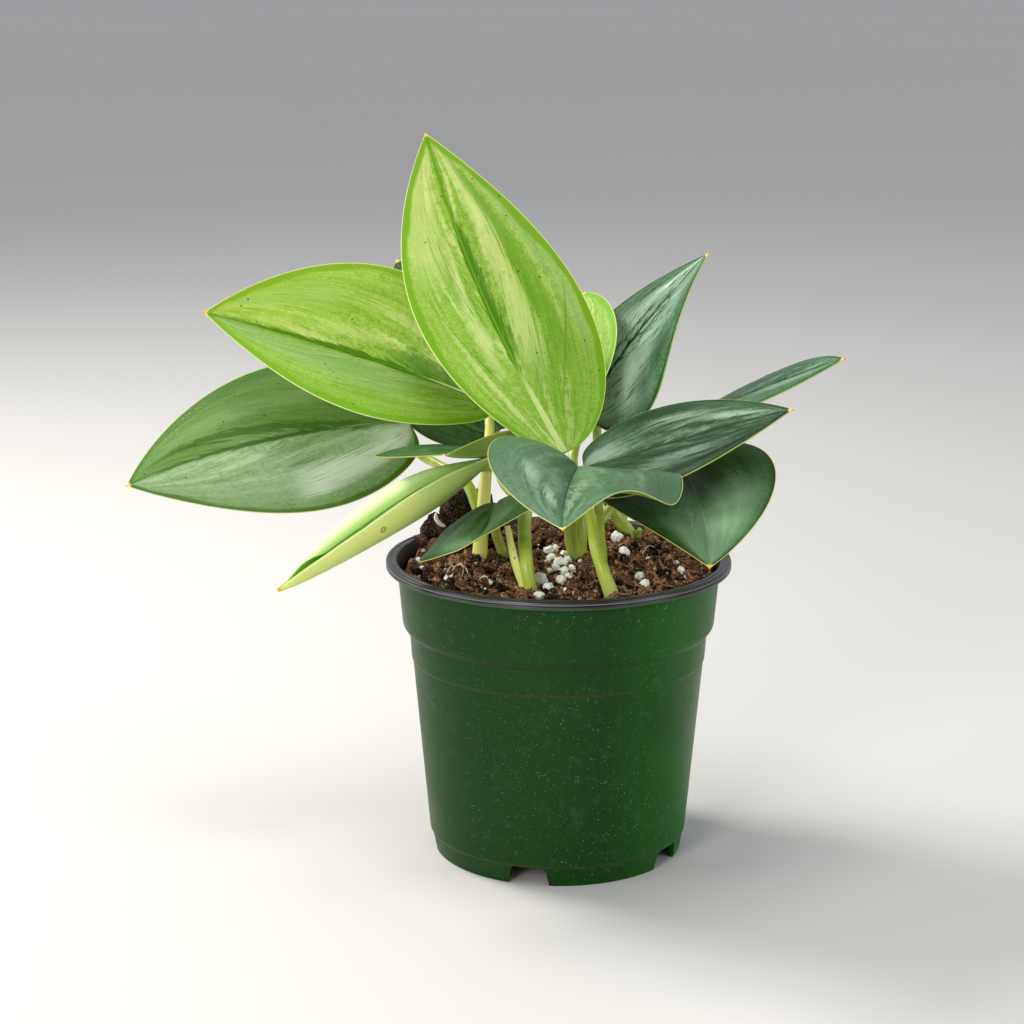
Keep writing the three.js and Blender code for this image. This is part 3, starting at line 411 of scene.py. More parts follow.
class Finish:
    """A surface finish: one shader, the nodes that pattern it and the coats of its colour."""

    def __init__(self, name, **settings):
        self.material = bpy.data.materials.new(name)
        self.material.use_nodes = True
        self.tree = self.material.node_tree
        self.shader = self.tree.nodes["Principled BSDF"]
        self.field = None
        for socket, value in settings.items():
            self.feed(self.shader.inputs[socket.replace("_", " ")], value)

    def feed(self, socket, value):
        if isinstance(value, bpy.types.NodeSocket):
            self.tree.links.new(value, socket)
        elif socket.type == "RGBA":
            socket.default_value = (*value[:3], 1)
        else:
            socket.default_value = value

    def node(self, kind, feeds, **options):
        made = self.tree.nodes.new(kind)
        for option, value in options.items():
            setattr(made, option, value)
        for key, value in feeds.items():
            self.feed(made.inputs[key], value)
        return made

    def attribute(self, name):
        return self.node("ShaderNodeAttribute", {}, attribute_name=name).outputs["Fac"]

    def place(self):
        return self.node("ShaderNodeTexCoord", {}).outputs["Object"]

    def split(self, vector):
        return self.node("ShaderNodeSeparateXYZ", {0: vector}).outputs

    def vector(self, x, y, z):
        return self.node("ShaderNodeCombineXYZ", {0: x, 1: y, 2: z}).outputs[0]

    def maths(self, operation, a, b=0.0, c=0.0):
        return self.node("ShaderNodeMath", {0: a, 1: b, 2: c}, operation=operation).outputs[0]

    def times(self, a, b, plus=None):
        """a times b, plus a third value if one is given."""
        if plus is None:
            return self.maths("MULTIPLY", a, b)
        return self.maths("MULTIPLY_ADD", a, b, plus)

    def less(self, a, b):
        return self.maths("SUBTRACT", a, b)

    def distance(self, a, b):
        return self.maths("ABSOLUTE", self.less(a, b))

    def ramp(self, value, low, high, start=0.0, end=1.0):
        """A smooth change from start to end as a value runs from low to high."""
        feeds = {"Value": value, "From Min": low, "From Max": high, "To Min": start, "To Max": end}
        made = self.node("ShaderNodeMapRange", feeds, interpolation_type="SMOOTHSTEP")
        return made.outputs["Result"]

    def cloud(self, vector, scale, detail=2.0, roughness=0.5):
        feeds = {"Vector": vector, "Scale": scale, "Detail": detail, "Roughness": roughness}
        return self.node("ShaderNodeTexNoise", feeds).outputs["Fac"]

    def cells(self, vector, scale):
        feeds = {"Vector": vector, "Scale": scale}
        return self.node("ShaderNodeTexVoronoi", feeds).outputs["Distance"]

    def specks(self, cells, wide, narrow, cloud, low, high, strength=1.0):
        """Small marks at the middle of cells, where a cloud is dense."""
        dense = self.ramp(cloud, low, high, 0.0, strength)
        return self.times(self.ramp(cells, wide, narrow), dense)

    def mix(self, share, a, b):
        """A blend of two colours, which are sockets 6 and 7 of the node."""
        return self.node("ShaderNodeMix", {0: share, 6: a, 7: b}, data_type="RGBA").outputs[2]

    def coat(self, share, colour, under=None):
        """Lay a colour by a share over another one, or over the coats so far."""
        self.field = self.mix(share, self.field if under is None else under, colour)
        self.feed(self.shader.inputs["Base Color"], self.field)

    def brush(self, value, low, high, strength, colour):
        """Lay a colour over the coats so far, the more as a value runs from low to high."""
        self.coat(self.ramp(value, low, high, 0.0, strength), colour)

    def bump(self, height, depth, strength):
        feeds = {"Height": height, "Distance": depth, "Strength": strength}
        self.feed(self.shader.inputs["Normal"], self.node("ShaderNodeBump", feeds).outputs[0])


def mottled_finish(name, roughness, scale, colour, other):
    """Two colours that drift into each other."""
    finish = Finish(name, Roughness=roughness)
    finish.coat(finish.cloud(finish.place(), scale), other, under=colour)
    return finish


def make_piece(name, points, faces, marks, finishes, kinds=None, crease=40):
    """A smooth-shaded object from points in millimetres, with one value per point in each mark."""
    mesh = bpy.data.meshes.new(name)
    mesh.from_pydata((np.asarray(points, float) * MM).tolist(), [], faces)
    for finish in finishes:
        mesh.materials.append(finish.material)
    if kinds is not None:
        mesh.polygons.foreach_set("material_index", np.asarray(kinds, np.int32))
    for mark, values in marks.items():
        made = mesh.attributes.new(mark, "FLOAT", "POINT")
        made.data.foreach_set("value", np.asarray(values, np.float32).ravel())
    mesh.polygons.foreach_set("use_smooth", [True] * len(mesh.polygons))
    mesh.set_sharp_from_angle(angle=math.radians(crease))
    mesh.update()
    piece = bpy.data.objects.new(name, mesh)
    bpy.context.scene.collection.objects.link(piece)
    return piece


def settle(piece, node):
    """The piece belongs to the plant and stands for a frame node, which it hides."""
    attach(piece, "root")
    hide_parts(node)


def joined(meshes):
    """Several (points, faces, marks) as one."""
    points, faces, marks, start = [], [], {}, 0
    for more_points, more_faces, more_marks in meshes:
        points.append(more_points)
        faces += [tuple(start + corner for corner in face) for face in more_faces]
        start += len(more_points)
        for mark, values in more_marks.items():
            marks.setdefault(mark, []).append(values)
    return np.concatenate(points), faces, {m: np.concatenate(v) for m, v in marks.items()}


def grid_faces(rows, columns, start=0, closed=False, turned=False):
    """Quads over a grid of points, row after row; closed joins the last column to the first."""
    faces = []
    for i in range(rows - 1):
        here, above = start + i * columns, start + (i + 1) * columns
        for j in range(columns if closed else columns - 1):
            k = (j + 1) % columns
            quad = (here + j, here + k, above + k, above + j)
            faces.append(quad[::-1] if turned else quad)
    return faces


def sheet_faces(rows, columns):
    """The faces of a closed sheet: upper skin, lower skin, then the rim between them."""
    lower = rows * columns
    faces = grid_faces(rows, columns) + grid_faces(rows, columns, lower, turned=True)
    kinds = [0] * (len(faces) // 2) + [1] * (len(faces) // 2)
    last_row, last_column = (rows - 1) * columns, columns - 1
    for i in range(rows - 1):
        a, b = i * columns, (i + 1) * columns
        faces.append((a, b, b + lower, a + lower))
        c, d = a + last_column, b + last_column
        faces.append((d, c, c + lower, d + lower))
    for j in range(columns - 1):
        faces.append((j + 1, j, j + lower, j + 1 + lower))
        c, d = last_row + j, last_row + j + 1
        faces.append((c, d, d + lower, c + lower))
    kinds += [2] * (len(faces) - len(kinds))
    return faces, kinds


def sheet_mesh(first, second, marks):
    """A closed sheet between two grids of points, as (points, faces, marks, kinds)."""
    faces, kinds = sheet_faces(*first.shape[:2])
    points = np.concatenate([first.reshape(-1, 3), second.reshape(-1, 3)])
    return points, faces, {m: np.concatenate([v.ravel()] * 2) for m, v in marks.items()}, kinds


def midrib(leaf):
    """The midrib as arrays of points and of the directions along, right and up."""
    heading, rise, roll = (math.radians(angle) for angle in leaf["aim"])
    droop, sway, twist = (math.radians(angle) for angle in leaf["bend"])
    level = math.cos(rise)
    along = Vector((level * math.cos(heading), level * math.sin(heading), math.sin(rise)))
    right = Vector((math.sin(heading), -math.cos(heading), 0))
    basis = [along, right, right.cross(along)]

    def turned(axis, angle):
        spin = Matrix.Rotation(angle, 3, axis)
        return [spin @ direction for direction in basis]

    basis = turned(along, roll)
    at = Vector(leaf["base"])
    rows = []
    for i in range(MIDRIB_STEPS + 1):
        rows.append((at.copy(), *basis))
        before = basis[0]
        share = (i + 0.5) / MIDRIB_STEPS
        basis = turned(basis[1], -droop * 2 * share / MIDRIB_STEPS)
        basis = turned(basis[2], -sway / MIDRIB_STEPS)
        basis = turned(basis[0], twist / MIDRIB_STEPS)
        at = at + (before + basis[0]) * (leaf["length"] / MIDRIB_STEPS / 2)
    return [np.array([row[part] for row in rows]) for part in range(4)]


def outline(t, belly, tip):
    """The width of a blade at t along it, as a share of its greatest width."""
    rise = tip * belly / (1 - belly)
    return t**rise * (1 - t) ** tip / (belly**rise * (1 - belly) ** tip)


def half_width(leaf, t, v):
    """Half the width of a blade, in millimetres; the margins draw in to a fine point at the tip."""
    side = np.where(v < 0, -1.0, 1.0)
    share = outline(t, leaf["belly"], leaf["tip"])
    left = (1 - t) * leaf["length"]
    wing = leaf.get("wing", 0) * np.exp(-(((t - WING_PLACE) / WING_SPREAD) ** 2)) * (v > 0)
    half = share * left / (left + leaf.get("point", FINE_POINT)) * leaf["width"] / 2
    return half * (1 + side * leaf["skew"] + wing)


def blade_points(leaf, chain, t, v):
    """Points of the middle surface: t runs along the blade, v from -1 (left) to 1 (right)."""
    place = np.minimum(t * MIDRIB_STEPS, MIDRIB_STEPS - 1e-6)
    step = place.astype(int)
    blend = (place - step)[..., None]
    at, along, right, up = (part[step] * (1 - blend) + part[step + 1] * blend for part in chain)
    left = v < 0
    out = np.abs(v)
    fold = np.radians(np.where(left, *leaf["fold"]))
    curl = np.radians(np.where(left, *leaf["curl"]))
    half = half_width(leaf, t, v)
    across = half * (np.sin(fold + curl * out) - np.sin(fold)) / curl * np.where(left, -1, 1)
    lift = half * (np.cos(fold) - np.cos(fold + curl * out)) / curl
    wave = leaf.get("wave", 0) * left
    lift = lift + wave * np.sin(3 * np.pi * t) * out**2 * np.sin(np.pi * t)
    back = leaf["lobe"] * (1 - t) ** 6 * out**2 * (1 - np.exp(-t / 0.02))
    return at + right * across[..., None] + up * lift[..., None] - along * back[..., None]


def vein_path(t, v):
    """Where the side vein through a point leaves the midrib: veins sweep out to the margin."""
    return t + 0.8 * np.log(1 - 0.97 * np.abs(v))


def vein_relief(vein, v, seed):
    """Soft swellings between the side veins, from about -1 to 1."""
    heights = np.zeros(vein.shape)
    for place, start in np.ndenumerate(vein):
        out, side = abs(v[place]), 1 if v[place] < 0 else 2
        broad = noise.noise(Vector((start * 4.5, out * 1.6, seed + side * 7)))
        small = noise.noise(Vector((start * 20, out * 1.5, seed + side * 9)))
        heights[place] = 2.0 * broad + 0.5 * small
    return heights


def blade_mesh(leaf, thickness, seed):
    """A blade, with its veins, the groove above its midrib and the keel below it."""
    even = np.linspace(0, 1, BLADE_ROWS)
    rows = 0.002 + 0.9975 * (0.35 * even + 0.65 * (0.5 - 0.5 * np.cos(np.pi * even)))
    half = 0.5 - 0.5 * np.cos(np.pi * np.linspace(0, 1, BLADE_HALF_COLUMNS + 1))
    columns = np.concatenate([-half[:0:-1], half])
    t, v = np.meshgrid(rows, columns, indexing="ij")
    chain = midrib(leaf)
    points = blade_points(leaf, chain, t, v)
    up = np.cross(np.gradient(points, axis=1), np.gradient(points, axis=0))
    up /= np.linalg.norm(up, axis=-1, keepdims=True)
    reach = half_width(leaf, t, v)
    across = np.abs(v) * reach
    margin = reach - across
    vein = vein_path(t, v)
    fade = np.clip(margin / 5, 0, 1) * np.clip(across / 3, 0, 1)
    relief = leaf["relief"] * vein_relief(vein, v, seed) * fade
    groove = 0.3 * np.exp(-((across / 0.8) ** 2)) * (1 - t)
    wedge = np.clip(1 - t / 0.4, 0, 1)
    raised = leaf.get("rib", 0) * np.exp(-((across / (0.4 + 1.0 * wedge)) ** 2)) * wedge
    keel = (0.2 + 0.9 * (1 - t) ** 1.5) * np.exp(-((across / (0.6 + 0.8 * (1 - t))) ** 2))
    sheet = thickness / 2 * (0.6 + 0.4 * np.clip(margin / 5, 0, 1))
    top = points + up * (sheet + relief - groove + raised)[..., None]
    bottom = points - up * (sheet - relief + keel)[..., None]
    from_tip = np.linalg.norm(points - chain[0][-1], axis=-1)
    return sheet_mesh(top, bottom, {
        "along": t, "across": v, "from_rib": across, "from_margin": margin,
        "from_tip": from_tip, "vein": vein,
    })


def upper_finish(name, leaf, look, seed, settings):
    """The upper side of a blade. Its pattern follows the side veins out from the midrib."""
    colour = {key: tint(*shade) for key, shade in look.items() if isinstance(shade, tuple)}
    top = Finish(f"{name}_upper", Subsurface_Weight=look["glow"], Subsurface_Scale=0.002,
                 Specular_IOR_Level=look["specular"])
    along, vein, across = top.attribute("along"), top.attribute("vein"), top.attribute("across")
    rib, margin = top.attribute("from_rib"), top.attribute("from_margin")
    place = top.place()
    out = top.maths("ABSOLUTE", across)
    side = top.times(top.maths("SIGN", across), 3.0, seed)
    grain = look["grain"]

    def swept(run, spread):
        return top.vector(top.times(vein, run), top.times(out, spread), side)

    # The patterns that the coats follow.
    speckle = top.cloud(place, 420.0, 4.0, 0.6)
    broad = top.times(speckle, 0.35, top.cloud(swept(look["streaks"], 3.2), 1.0, 3.0))
    fine = top.cloud(swept(100.0, 15.0), 1.0, 3.0)
    torn = top.times(speckle, 0.25, top.cloud(swept(30.0, 9.0), 1.0, 4.0))
    mottle = top.cloud(place, 1100.0, 3.0)
    patch = top.cloud(place, 55.0, 3.0)

    # The pale field, with its streaks and mottles.
    pale = top.times(top.ramp(broad, 0.65, 0.82), top.ramp(out, 0.95, 0.4))
    top.coat(pale, colour["streak"], under=colour["silver"])
    for pattern, low, high, strength, shade in (
        (broad, 0.62, 0.48, 0.8, "shade"), (fine, 0.48, 0.7, grain, "shade"),
        (fine, 0.5, 0.32, 0.8 * grain, "streak"), (mottle, 0.48, 0.62, 0.22, "streak"),
        (mottle, 0.46, 0.36, 0.3, "shade"), (speckle, 0.5, 0.3, 0.35, "shade"),
    ):
        top.brush(pattern, low, high, strength, colour[shade])
    # Each half turns toward the shade colour by its dim: partly painted shade on a half in shadow,
    # partly the half's own darker hue.
    top.coat(top.ramp(across, -0.02, 0.02, *leaf.get("dim", (0, 0))), colour["shade"])

    # The strokes of this leaf, the broad ones with frayed edges, and the torn marks. Among the
    # strokes are a painted sheen where the leaf catches the light and painted shade in its hollows.
    frayed = top.times(fine, 0.16, top.times(torn, 0.3, -0.27))
    frayed = top.maths("ADD", across, frayed)
    for shade, centre, drift, spread, start, end, strength in leaf.get("strokes", ()):
        beside = across if spread < FINE_STROKE else frayed
        off = top.distance(beside, top.times(along, drift, centre))
        mask = top.ramp(off, spread, 0.35 * spread, 0.0, strength)
        mask = top.times(mask, top.ramp(along, start - 0.1, start + 0.06))
        mask = top.times(mask, top.ramp(along, end + 0.1, end - 0.06))
        top.coat(mask, colour[shade])
    rips = top.times(top.ramp(torn, 0.7, 0.73), top.ramp(patch, 0.4, 0.52))
    top.coat(top.times(rips, look["torn"]), colour["rib"])

    # The band inside the margin and the stripe along the midrib, both with ragged edges.
    ragged = top.times(torn, look["ragged"], -0.62 * look["ragged"])
    ragged = top.times(fine, 1.4, top.less(ragged, 0.7))
    band = top.maths("ADD", top.times(patch, 2.0 * look["band"]), ragged)
    top.coat(top.ramp(top.less(margin, band), -0.4, 0.5, 0.92, 0.0), colour["rim"])
    wide = leaf.get("stripe", look["stripe"])
    if wide:
        taper = top.ramp(along, 0.5, 1.0, wide, 0.3 * wide)
        swell = top.times(top.ramp(along, 0.0, 0.5, 0.4, 1.0), taper)
        stripe = top.less(rib, top.times(ragged, 0.8, swell))
        top.coat(top.ramp(stripe, -0.5, 0.4, 0.95, 0.0), colour["rib"])

    # Small marks, and the line on the midrib.
    dashes = top.specks(top.cells(swept(120.0, 8.0), 1.0), 0.2, 0.12,
                        top.cloud(place, 150.0), 0.46, 0.56, 0.8)
    top.coat(dashes, colour["fleck"])
    dots = top.specks(top.cells(place, 210.0), 0.085, 0.055,
                      top.cloud(place, 70.0), 0.48, 0.54, 0.85)
    top.coat(dots, tint(40, 52, 14))
    keel = leaf.get("keel", PLAIN_KEEL)
    if keel:
        line = top.less(rib, top.ramp(along, 0.0, 0.42, keel, 0.24 * keel))
        ridge = top.mix(top.ramp(along, 0.18, 0.3), colour["keel"], colour["rim"])
        top.coat(top.ramp(line, -0.05, 0.25, 0.85, 0.0), ridge)

    # The painted light and shade on each half, brighter or darker as the light falls on it; then
    # the thin edge and the tip.
    painted_half_light = top.ramp(across, -0.02, 0.02, *leaf.get("painted_half_light", (1, 1)))
    feeds = {"Value": painted_half_light, "Color": top.field}
    top.field = top.node("ShaderNodeHueSaturation", feeds).outputs[0]
    waver = top.times(fine, 0.35, -0.1)
    top.brush(top.less(margin, waver), 0.18, 0.04, 1.0, colour["edge"])
    colour_tip(top, settings)
    gloss = top.ramp(fine, 0.3, 0.7, settings.gloss - 0.04, settings.gloss + 0.08)
    top.feed(top.shader.inputs["Roughness"], gloss)
    top.bump(top.times(fine, 0.7, top.times(mottle, 0.5)), 0.00015, 0.6)
    return top


def lower_finish(name, look, seed, settings):
    """The lower side of a blade: paler, with paler threads along the veins."""
    colour = tint(*look["under"])
    pale = tuple(min(1.0, 1.3 * level) for level in colour)
    lower = Finish(f"{name}_lower", Roughness=0.5, Subsurface_Weight=0.1, Subsurface_Scale=0.002)
    out = lower.maths("ABSOLUTE", lower.attribute("across"))
    threads = lower.vector(lower.times(lower.attribute("vein"), 50.0), lower.times(out, 4.0), seed)
    threads = lower.cloud(threads, 1.0, 3.0)
    lower.coat(lower.ramp(threads, 0.35, 0.7), pale, under=colour)
    lower.brush(lower.attribute("from_rib"), 1.6, 0.4, 0.6, pale)
    lower.brush(lower.attribute("from_margin"), 0.6, 0.1, 1.0, tint(*look["edge"]))
    colour_tip(lower, settings)
    lower.bump(threads, 0.0002, 0.5)
    return lower


def margin_finish(name, look, settings):
    """The thin rim of a blade."""
    edge = tint(*look["edge"])
    rim = mottled_finish(f"{name}_margin", 0.45, 150.0, edge, [0.75 * level for level in edge])
    colour_tip(rim, settings)
    return rim


def colour_tip(finish, settings):
    """The last millimetres of a leaf turn yellow, then orange."""
    away = finish.attribute("from_tip")
    finish.brush(away, 2.4, 1.0, 1.0, tint(218, 200, 80))
    finish.brush(away, 1.1, 0.5, 1.0, settings.tip_colour)


def grow_leaves(names, settings):
    for name in names:
        leaf = LEAVES[name]
        look = LOOKS[leaf["look"]]
        seed = 3.0 + 11.0 * list(LEAVES).index(name)
        *mesh, kinds = blade_mesh(leaf, settings.thickness / MM, seed)
        finishes = [
            upper_finish(name, leaf, look, seed, settings),
            lower_finish(name, look, seed, settings),
            margin_finish(name, look, settings),
        ]
        piece = make_piece(f"{name}_blade", *mesh, finishes, kinds, crease=60)
        settle(piece, name)


def roll_mesh():
    """The rolled leaf: its outer layer comes up from below and ends in a free margin."""
    base, tip = np.array(ROLL["base"], float), np.array(ROLL["tip"], float)
    length = float(np.linalg.norm(tip - base))
    right = np.cross((tip - base) / length, (0, 0, 1))
    right /= np.linalg.norm(right)
    up = np.cross(right, (tip - base) / length)
    t = 0.012 + 0.988 * np.linspace(0, 1, ROLL_STEPS)
    shape = outline(np.minimum(t, 0.999), ROLL["belly"], ROLL["taper"])
    shape = shape * (1 - 0.55 * np.exp(-((t / 0.2) ** 2)))
    radius = ROLL["tip_radius"] + (ROLL["radius"] - ROLL["tip_radius"]) * shape
    centre = base + (tip - base) * t[:, None] + up * (ROLL["bow"] * np.sin(np.pi * t))[:, None]
    turn, edge, gape = (np.interp(t, *ROLL[key])[:, None] for key in ("turn", "edge", "gape"))
    wound = turn * np.linspace(0, 1, ROLL_STEPS)
    unwound = turn - wound
    angle = np.radians(edge + turn - wound)
    loose = gape * np.clip(1 - unwound / 100, 0, 1) ** 2
    reach = radius[:, None] - ROLL["pitch"] * unwound / 360 + loose
    reach = np.maximum(reach, 0.35 + 0.2 * wound / 360)
    outward = np.cos(angle)[..., None] * right + np.sin(angle)[..., None] * up
    middle = centre[:, None] + outward * reach[..., None]
    half = outward * ROLL["sheet"] / 2
    along = np.repeat(t[:, None], ROLL_STEPS, axis=1)
    points, faces, marks, kinds = sheet_mesh(middle - half, middle + half, {
        "along": along, "around": angle / (2 * np.pi), "from_tip": length * (1 - along),
        "from_edge": np.radians(unwound) * reach, "layer": unwound / 360,
    })
    return points, [face[::-1] for face in faces], marks, kinds


def roll_finishes(settings):
    """The inside, the outside and the margin of the rolled leaf."""
    outer = Finish("rolled_leaf_outside", Roughness=0.48, Subsurface_Weight=0.2,
                   Subsurface_Scale=0.003, Specular_IOR_Level=0.12)
    along, around = outer.attribute("along"), outer.attribute("around")
    threads = outer.vector(outer.times(along, 3.0), outer.times(around, 60.0), 4.0)
    threads = outer.cloud(threads, 1.0, 3.0)
    outer.coat(outer.ramp(threads, 0.35, 0.75, 0.0, 0.5), tint(206, 222, 150),
               under=settings.young)
    layer = outer.attribute("layer")
    # Painted light on the wound layers: a painted highlight on the upper tube, painted shade on the
    # tube beside the seam and a painted shadow line in the seam under the free margin; then a
    # little greener toward the base.
    for value, low, high, strength, shade in (
        (layer, 0.5, 0.72, 0.85, (196, 217, 164)), (layer, 0.86, 0.97, 0.8, (146, 188, 84)),
        (layer, 0.972, 0.988, 0.8, (66, 116, 18)), (along, 0.4, 0.0, 0.4, (168, 194, 100)),
    ):
        outer.brush(value, low, high, strength, tint(*shade))
    # A small brown ring on the outer layer.
    off = outer.vector(outer.times(along, 86.0, -49.0), outer.times(around, 50.0, -26.2), 0.0)
    off = outer.node("ShaderNodeVectorMath", {0: off}, operation="LENGTH").outputs["Value"]
    ring = outer.times(outer.ramp(off, 0.2, 0.6, 0.3, 1.0), outer.ramp(off, 1.3, 0.9))
    outer.coat(outer.times(ring, 0.9), tint(168, 136, 24))
    outer.brush(outer.cloud(outer.place(), 1200.0), 0.5, 0.7, 0.25, tint(168, 200, 110))
    outer.brush(outer.attribute("from_edge"), 0.8, 0.3, 1.0, tint(216, 230, 166))
    colour_tip(outer, settings)
    outer.bump(threads, 0.00015, 0.4)
    return [
        mottled_finish("rolled_leaf_inside", 0.5, 200.0, tint(124, 188, 62), tint(150, 206, 90)),
        outer,
        mottled_finish("rolled_leaf_margin", 0.45, 150.0, tint(206, 220, 140),
                       tint(176, 200, 104)),
    ]


def grow_rolled_leaf(settings):
    *mesh, kinds = roll_mesh()
    piece = make_piece("rolled_leaf", *mesh, roll_finishes(settings), kinds, crease=60)
    settle(piece, "leaf_rolled_young")


def between(t, a, b, start, end):
    """The place at t on the line from a, reached at start, to b, reached at end."""
    return a * ((end - t) / (end - start)) + b * ((t - start) / (end - start))


def smooth_path(points, spacing=0.8):
    """An evenly spaced centripetal curve through the points, and how far along each point is."""
    points = [Vector(point) for point in points]
    points = [2 * points[0] - points[1], *points, 2 * points[-1] - points[-2]]
    traced = []
    for i in range(1, len(points) - 2):
        p = points[i - 1 : i + 3]
        knots = [0.0]
        for a, b in zip(p, p[1:]):
            knots.append(knots[-1] + math.sqrt((b - a).length))
        for k in range(24):
            t = knots[1] + (knots[2] - knots[1]) * k / 24
            lines = [between(t, p[n], p[n + 1], knots[n], knots[n + 1]) for n in range(3)]
            bends = [between(t, lines[n], lines[n + 1], knots[n], knots[n + 2]) for n in range(2)]
            traced.append(between(t, *bends, knots[1], knots[2]))
    traced.append(points[-2])
    traced = np.array(traced)
    run = np.concatenate([[0], np.cumsum(np.linalg.norm(np.diff(traced, axis=0), axis=1))])
    even = np.linspace(0, run[-1], max(4, int(run[-1] / spacing)))
    return np.stack([np.interp(even, run, traced[:, axis]) for axis in range(3)], axis=-1), even


def tube_mesh(path, radii, sides):
    """A closed tube about a path, with a radius at each of its points."""
    ahead = np.gradient(path, axis=0)
    ahead /= np.linalg.norm(ahead, axis=-1, keepdims=True)
    side = np.cross(ahead[0], (0.0, 1.0, 0.0))
    side /= np.linalg.norm(side)
    angle = np.linspace(0, 2 * np.pi, sides, endpoint=False)
    rings = []
    for centre, forward, radius in zip(path, ahead, radii):
        side = side - forward * np.dot(side, forward)
        side /= np.linalg.norm(side)
        other = np.cross(forward, side)
        rings.append(
            centre + radius * (np.cos(angle)[:, None] * side + np.sin(angle)[:, None] * other))
    points = np.concatenate([*rings, path[:1], path[-1:]])
    faces = grid_faces(len(path), sides, closed=True) + end_fans(len(path), sides)
    around = np.concatenate([np.tile(angle / (2 * np.pi), len(path)), [0, 0]])
    return points, faces, around


def end_fans(rows, columns):
    """Triangles that close a grid of rings to two points, which follow it."""
    faces = []
    foot, top, last = rows * columns, rows * columns + 1, (rows - 1) * columns
    for k in range(columns):
        n = (k + 1) % columns
        faces += [(foot, n, k), (top, last + k, last + n)]
    return faces


def limb_points(limb):
    """The points that a limb runs through, from its root up to its leaf or its end."""
    points = list(limb["path"])
    if "leaf" in limb:
        at, along, _, up = (Vector(part[0]) for part in midrib(LEAVES[limb["leaf"]]))
        seat = at + along * SEAT_FORWARD - up * SEAT_BELOW
        points += [seat - up * SEAT_DROP, seat]
    if "end" in limb:
        points.append(limb["end"])
    if limb.get("rooted"):
        x, y, z = points[0]
        points.insert(0, (x, y, z - ROOT_DEPTH))
    return points


def stem_finish(settings):
    """The skin of the shoots: pale threads, brown spots, and soil dust at the foot."""
    stem = Finish("petiole_skin", Roughness=0.38, Subsurface_Weight=0.15, Subsurface_Scale=0.003)
    place = stem.place()
    threads = stem.vector(stem.times(stem.attribute("run"), 0.05),
                          stem.times(stem.attribute("around"), 22.0), stem.attribute("limb"))
    threads = stem.cloud(threads, 1.0, 3.0)
    blotch = stem.cloud(place, 90.0, 3.0)
    stem.coat(stem.ramp(blotch, 0.35, 0.7), settings.pale, under=settings.green)
    stem.brush(threads, 0.45, 0.75, 0.4, settings.pale)
    stem.brush(threads, 0.45, 0.25, 0.25, tint(126, 158, 44))
    stem.coat(stem.attribute("dry"), tint(238, 238, 134))
    spots = stem.specks(stem.cells(place, 420.0), 0.24, 0.12, stem.cloud(place, 170.0), 0.56, 0.66)
    stem.coat(stem.times(spots, 0.7), tint(112, 92, 40))
    height = stem.times(blotch, 0.006, stem.split(place)[2])
    stem.brush(height, 0.103, 0.1, 0.25, tint(120, 118, 60))
    stem.bump(threads, 0.0002, 0.4)
    return stem


def grow_shoots(settings):
    finish = stem_finish(settings)
    for name, limbs in SHOOTS.items():
        tubes = []
        for index, limb in enumerate(limbs):
            path, run = smooth_path(limb_points(limb))
            share = run / run[-1]
            foot, top = limb["radii"]
            radii = foot + (top - foot) * share
            if "leaf" in limb:
                radii = radii + 0.35 * np.exp(-(((share - 0.93) / 0.05) ** 2))
            points, faces, around = tube_mesh(path, radii, STEM_SIDES)
            tubes.append((points, faces, {
                "run": np.concatenate([np.repeat(run, STEM_SIDES), [0, run[-1]]]),
                "around": around,
                "limb": np.full(len(points), 5.0 * index),
                "dry": np.full(len(points), limb.get("dry", 0.0)),
            }))
        piece = make_piece(f"{name}_stems", *joined(tubes), [finish])
        settle(piece, name)


def round_corner(before, corner, after, radius, steps=5):
    """Points that round the corner of an outline."""
    before, corner, after = (np.array(point, float) for point in (before, corner, after))
    start = corner + (before - corner) / np.linalg.norm(before - corner) * radius
    end = corner + (after - corner) / np.linalg.norm(after - corner) * radius
    share = np.linspace(0, 1, steps + 1)[:, None]
    return (1 - share) ** 2 * start + 2 * share * (1 - share) * corner + share**2 * end


def pot_section():
    """The section of the pot as (radius, height), with its corners rounded."""
    corners = POT_OUTSIDE + POT_INSIDE
    section = [corners[0][:2]]
    for before, corner, after in zip(corners, corners[1:], corners[2:]):
        if corner[2]:
            section += map(tuple, round_corner(before[:2], corner[:2], after[:2], corner[2]))
        else:
            section.append(corner[:2])
    section.append(corners[-1][:2])
    return np.array(section)


def cutter(outline_points, reach, turn):
    """A prism for cutting a notch or slot: an outline across x and z, drawn along the radius."""
    count = len(outline_points)
    spin = np.radians(turn)
    points = []
    for far in reach:
        for x, z in outline_points:
            points.append((x * np.cos(spin) + far * np.sin(spin),
                           x * np.sin(spin) - far * np.cos(spin), z))
    faces = [tuple(range(count - 1, -1, -1)), tuple(range(count, 2 * count))]
    for k in range(count):
        n = (k + 1) % count
        faces.append((k, n, count + n, count + k))
    mesh = bpy.data.meshes.new("cutter")
    mesh.from_pydata((np.array(points) * MM).tolist(), [], faces)
    made = bpy.data.objects.new("cutter", mesh)
    bpy.context.scene.collection.objects.link(made)
    return made


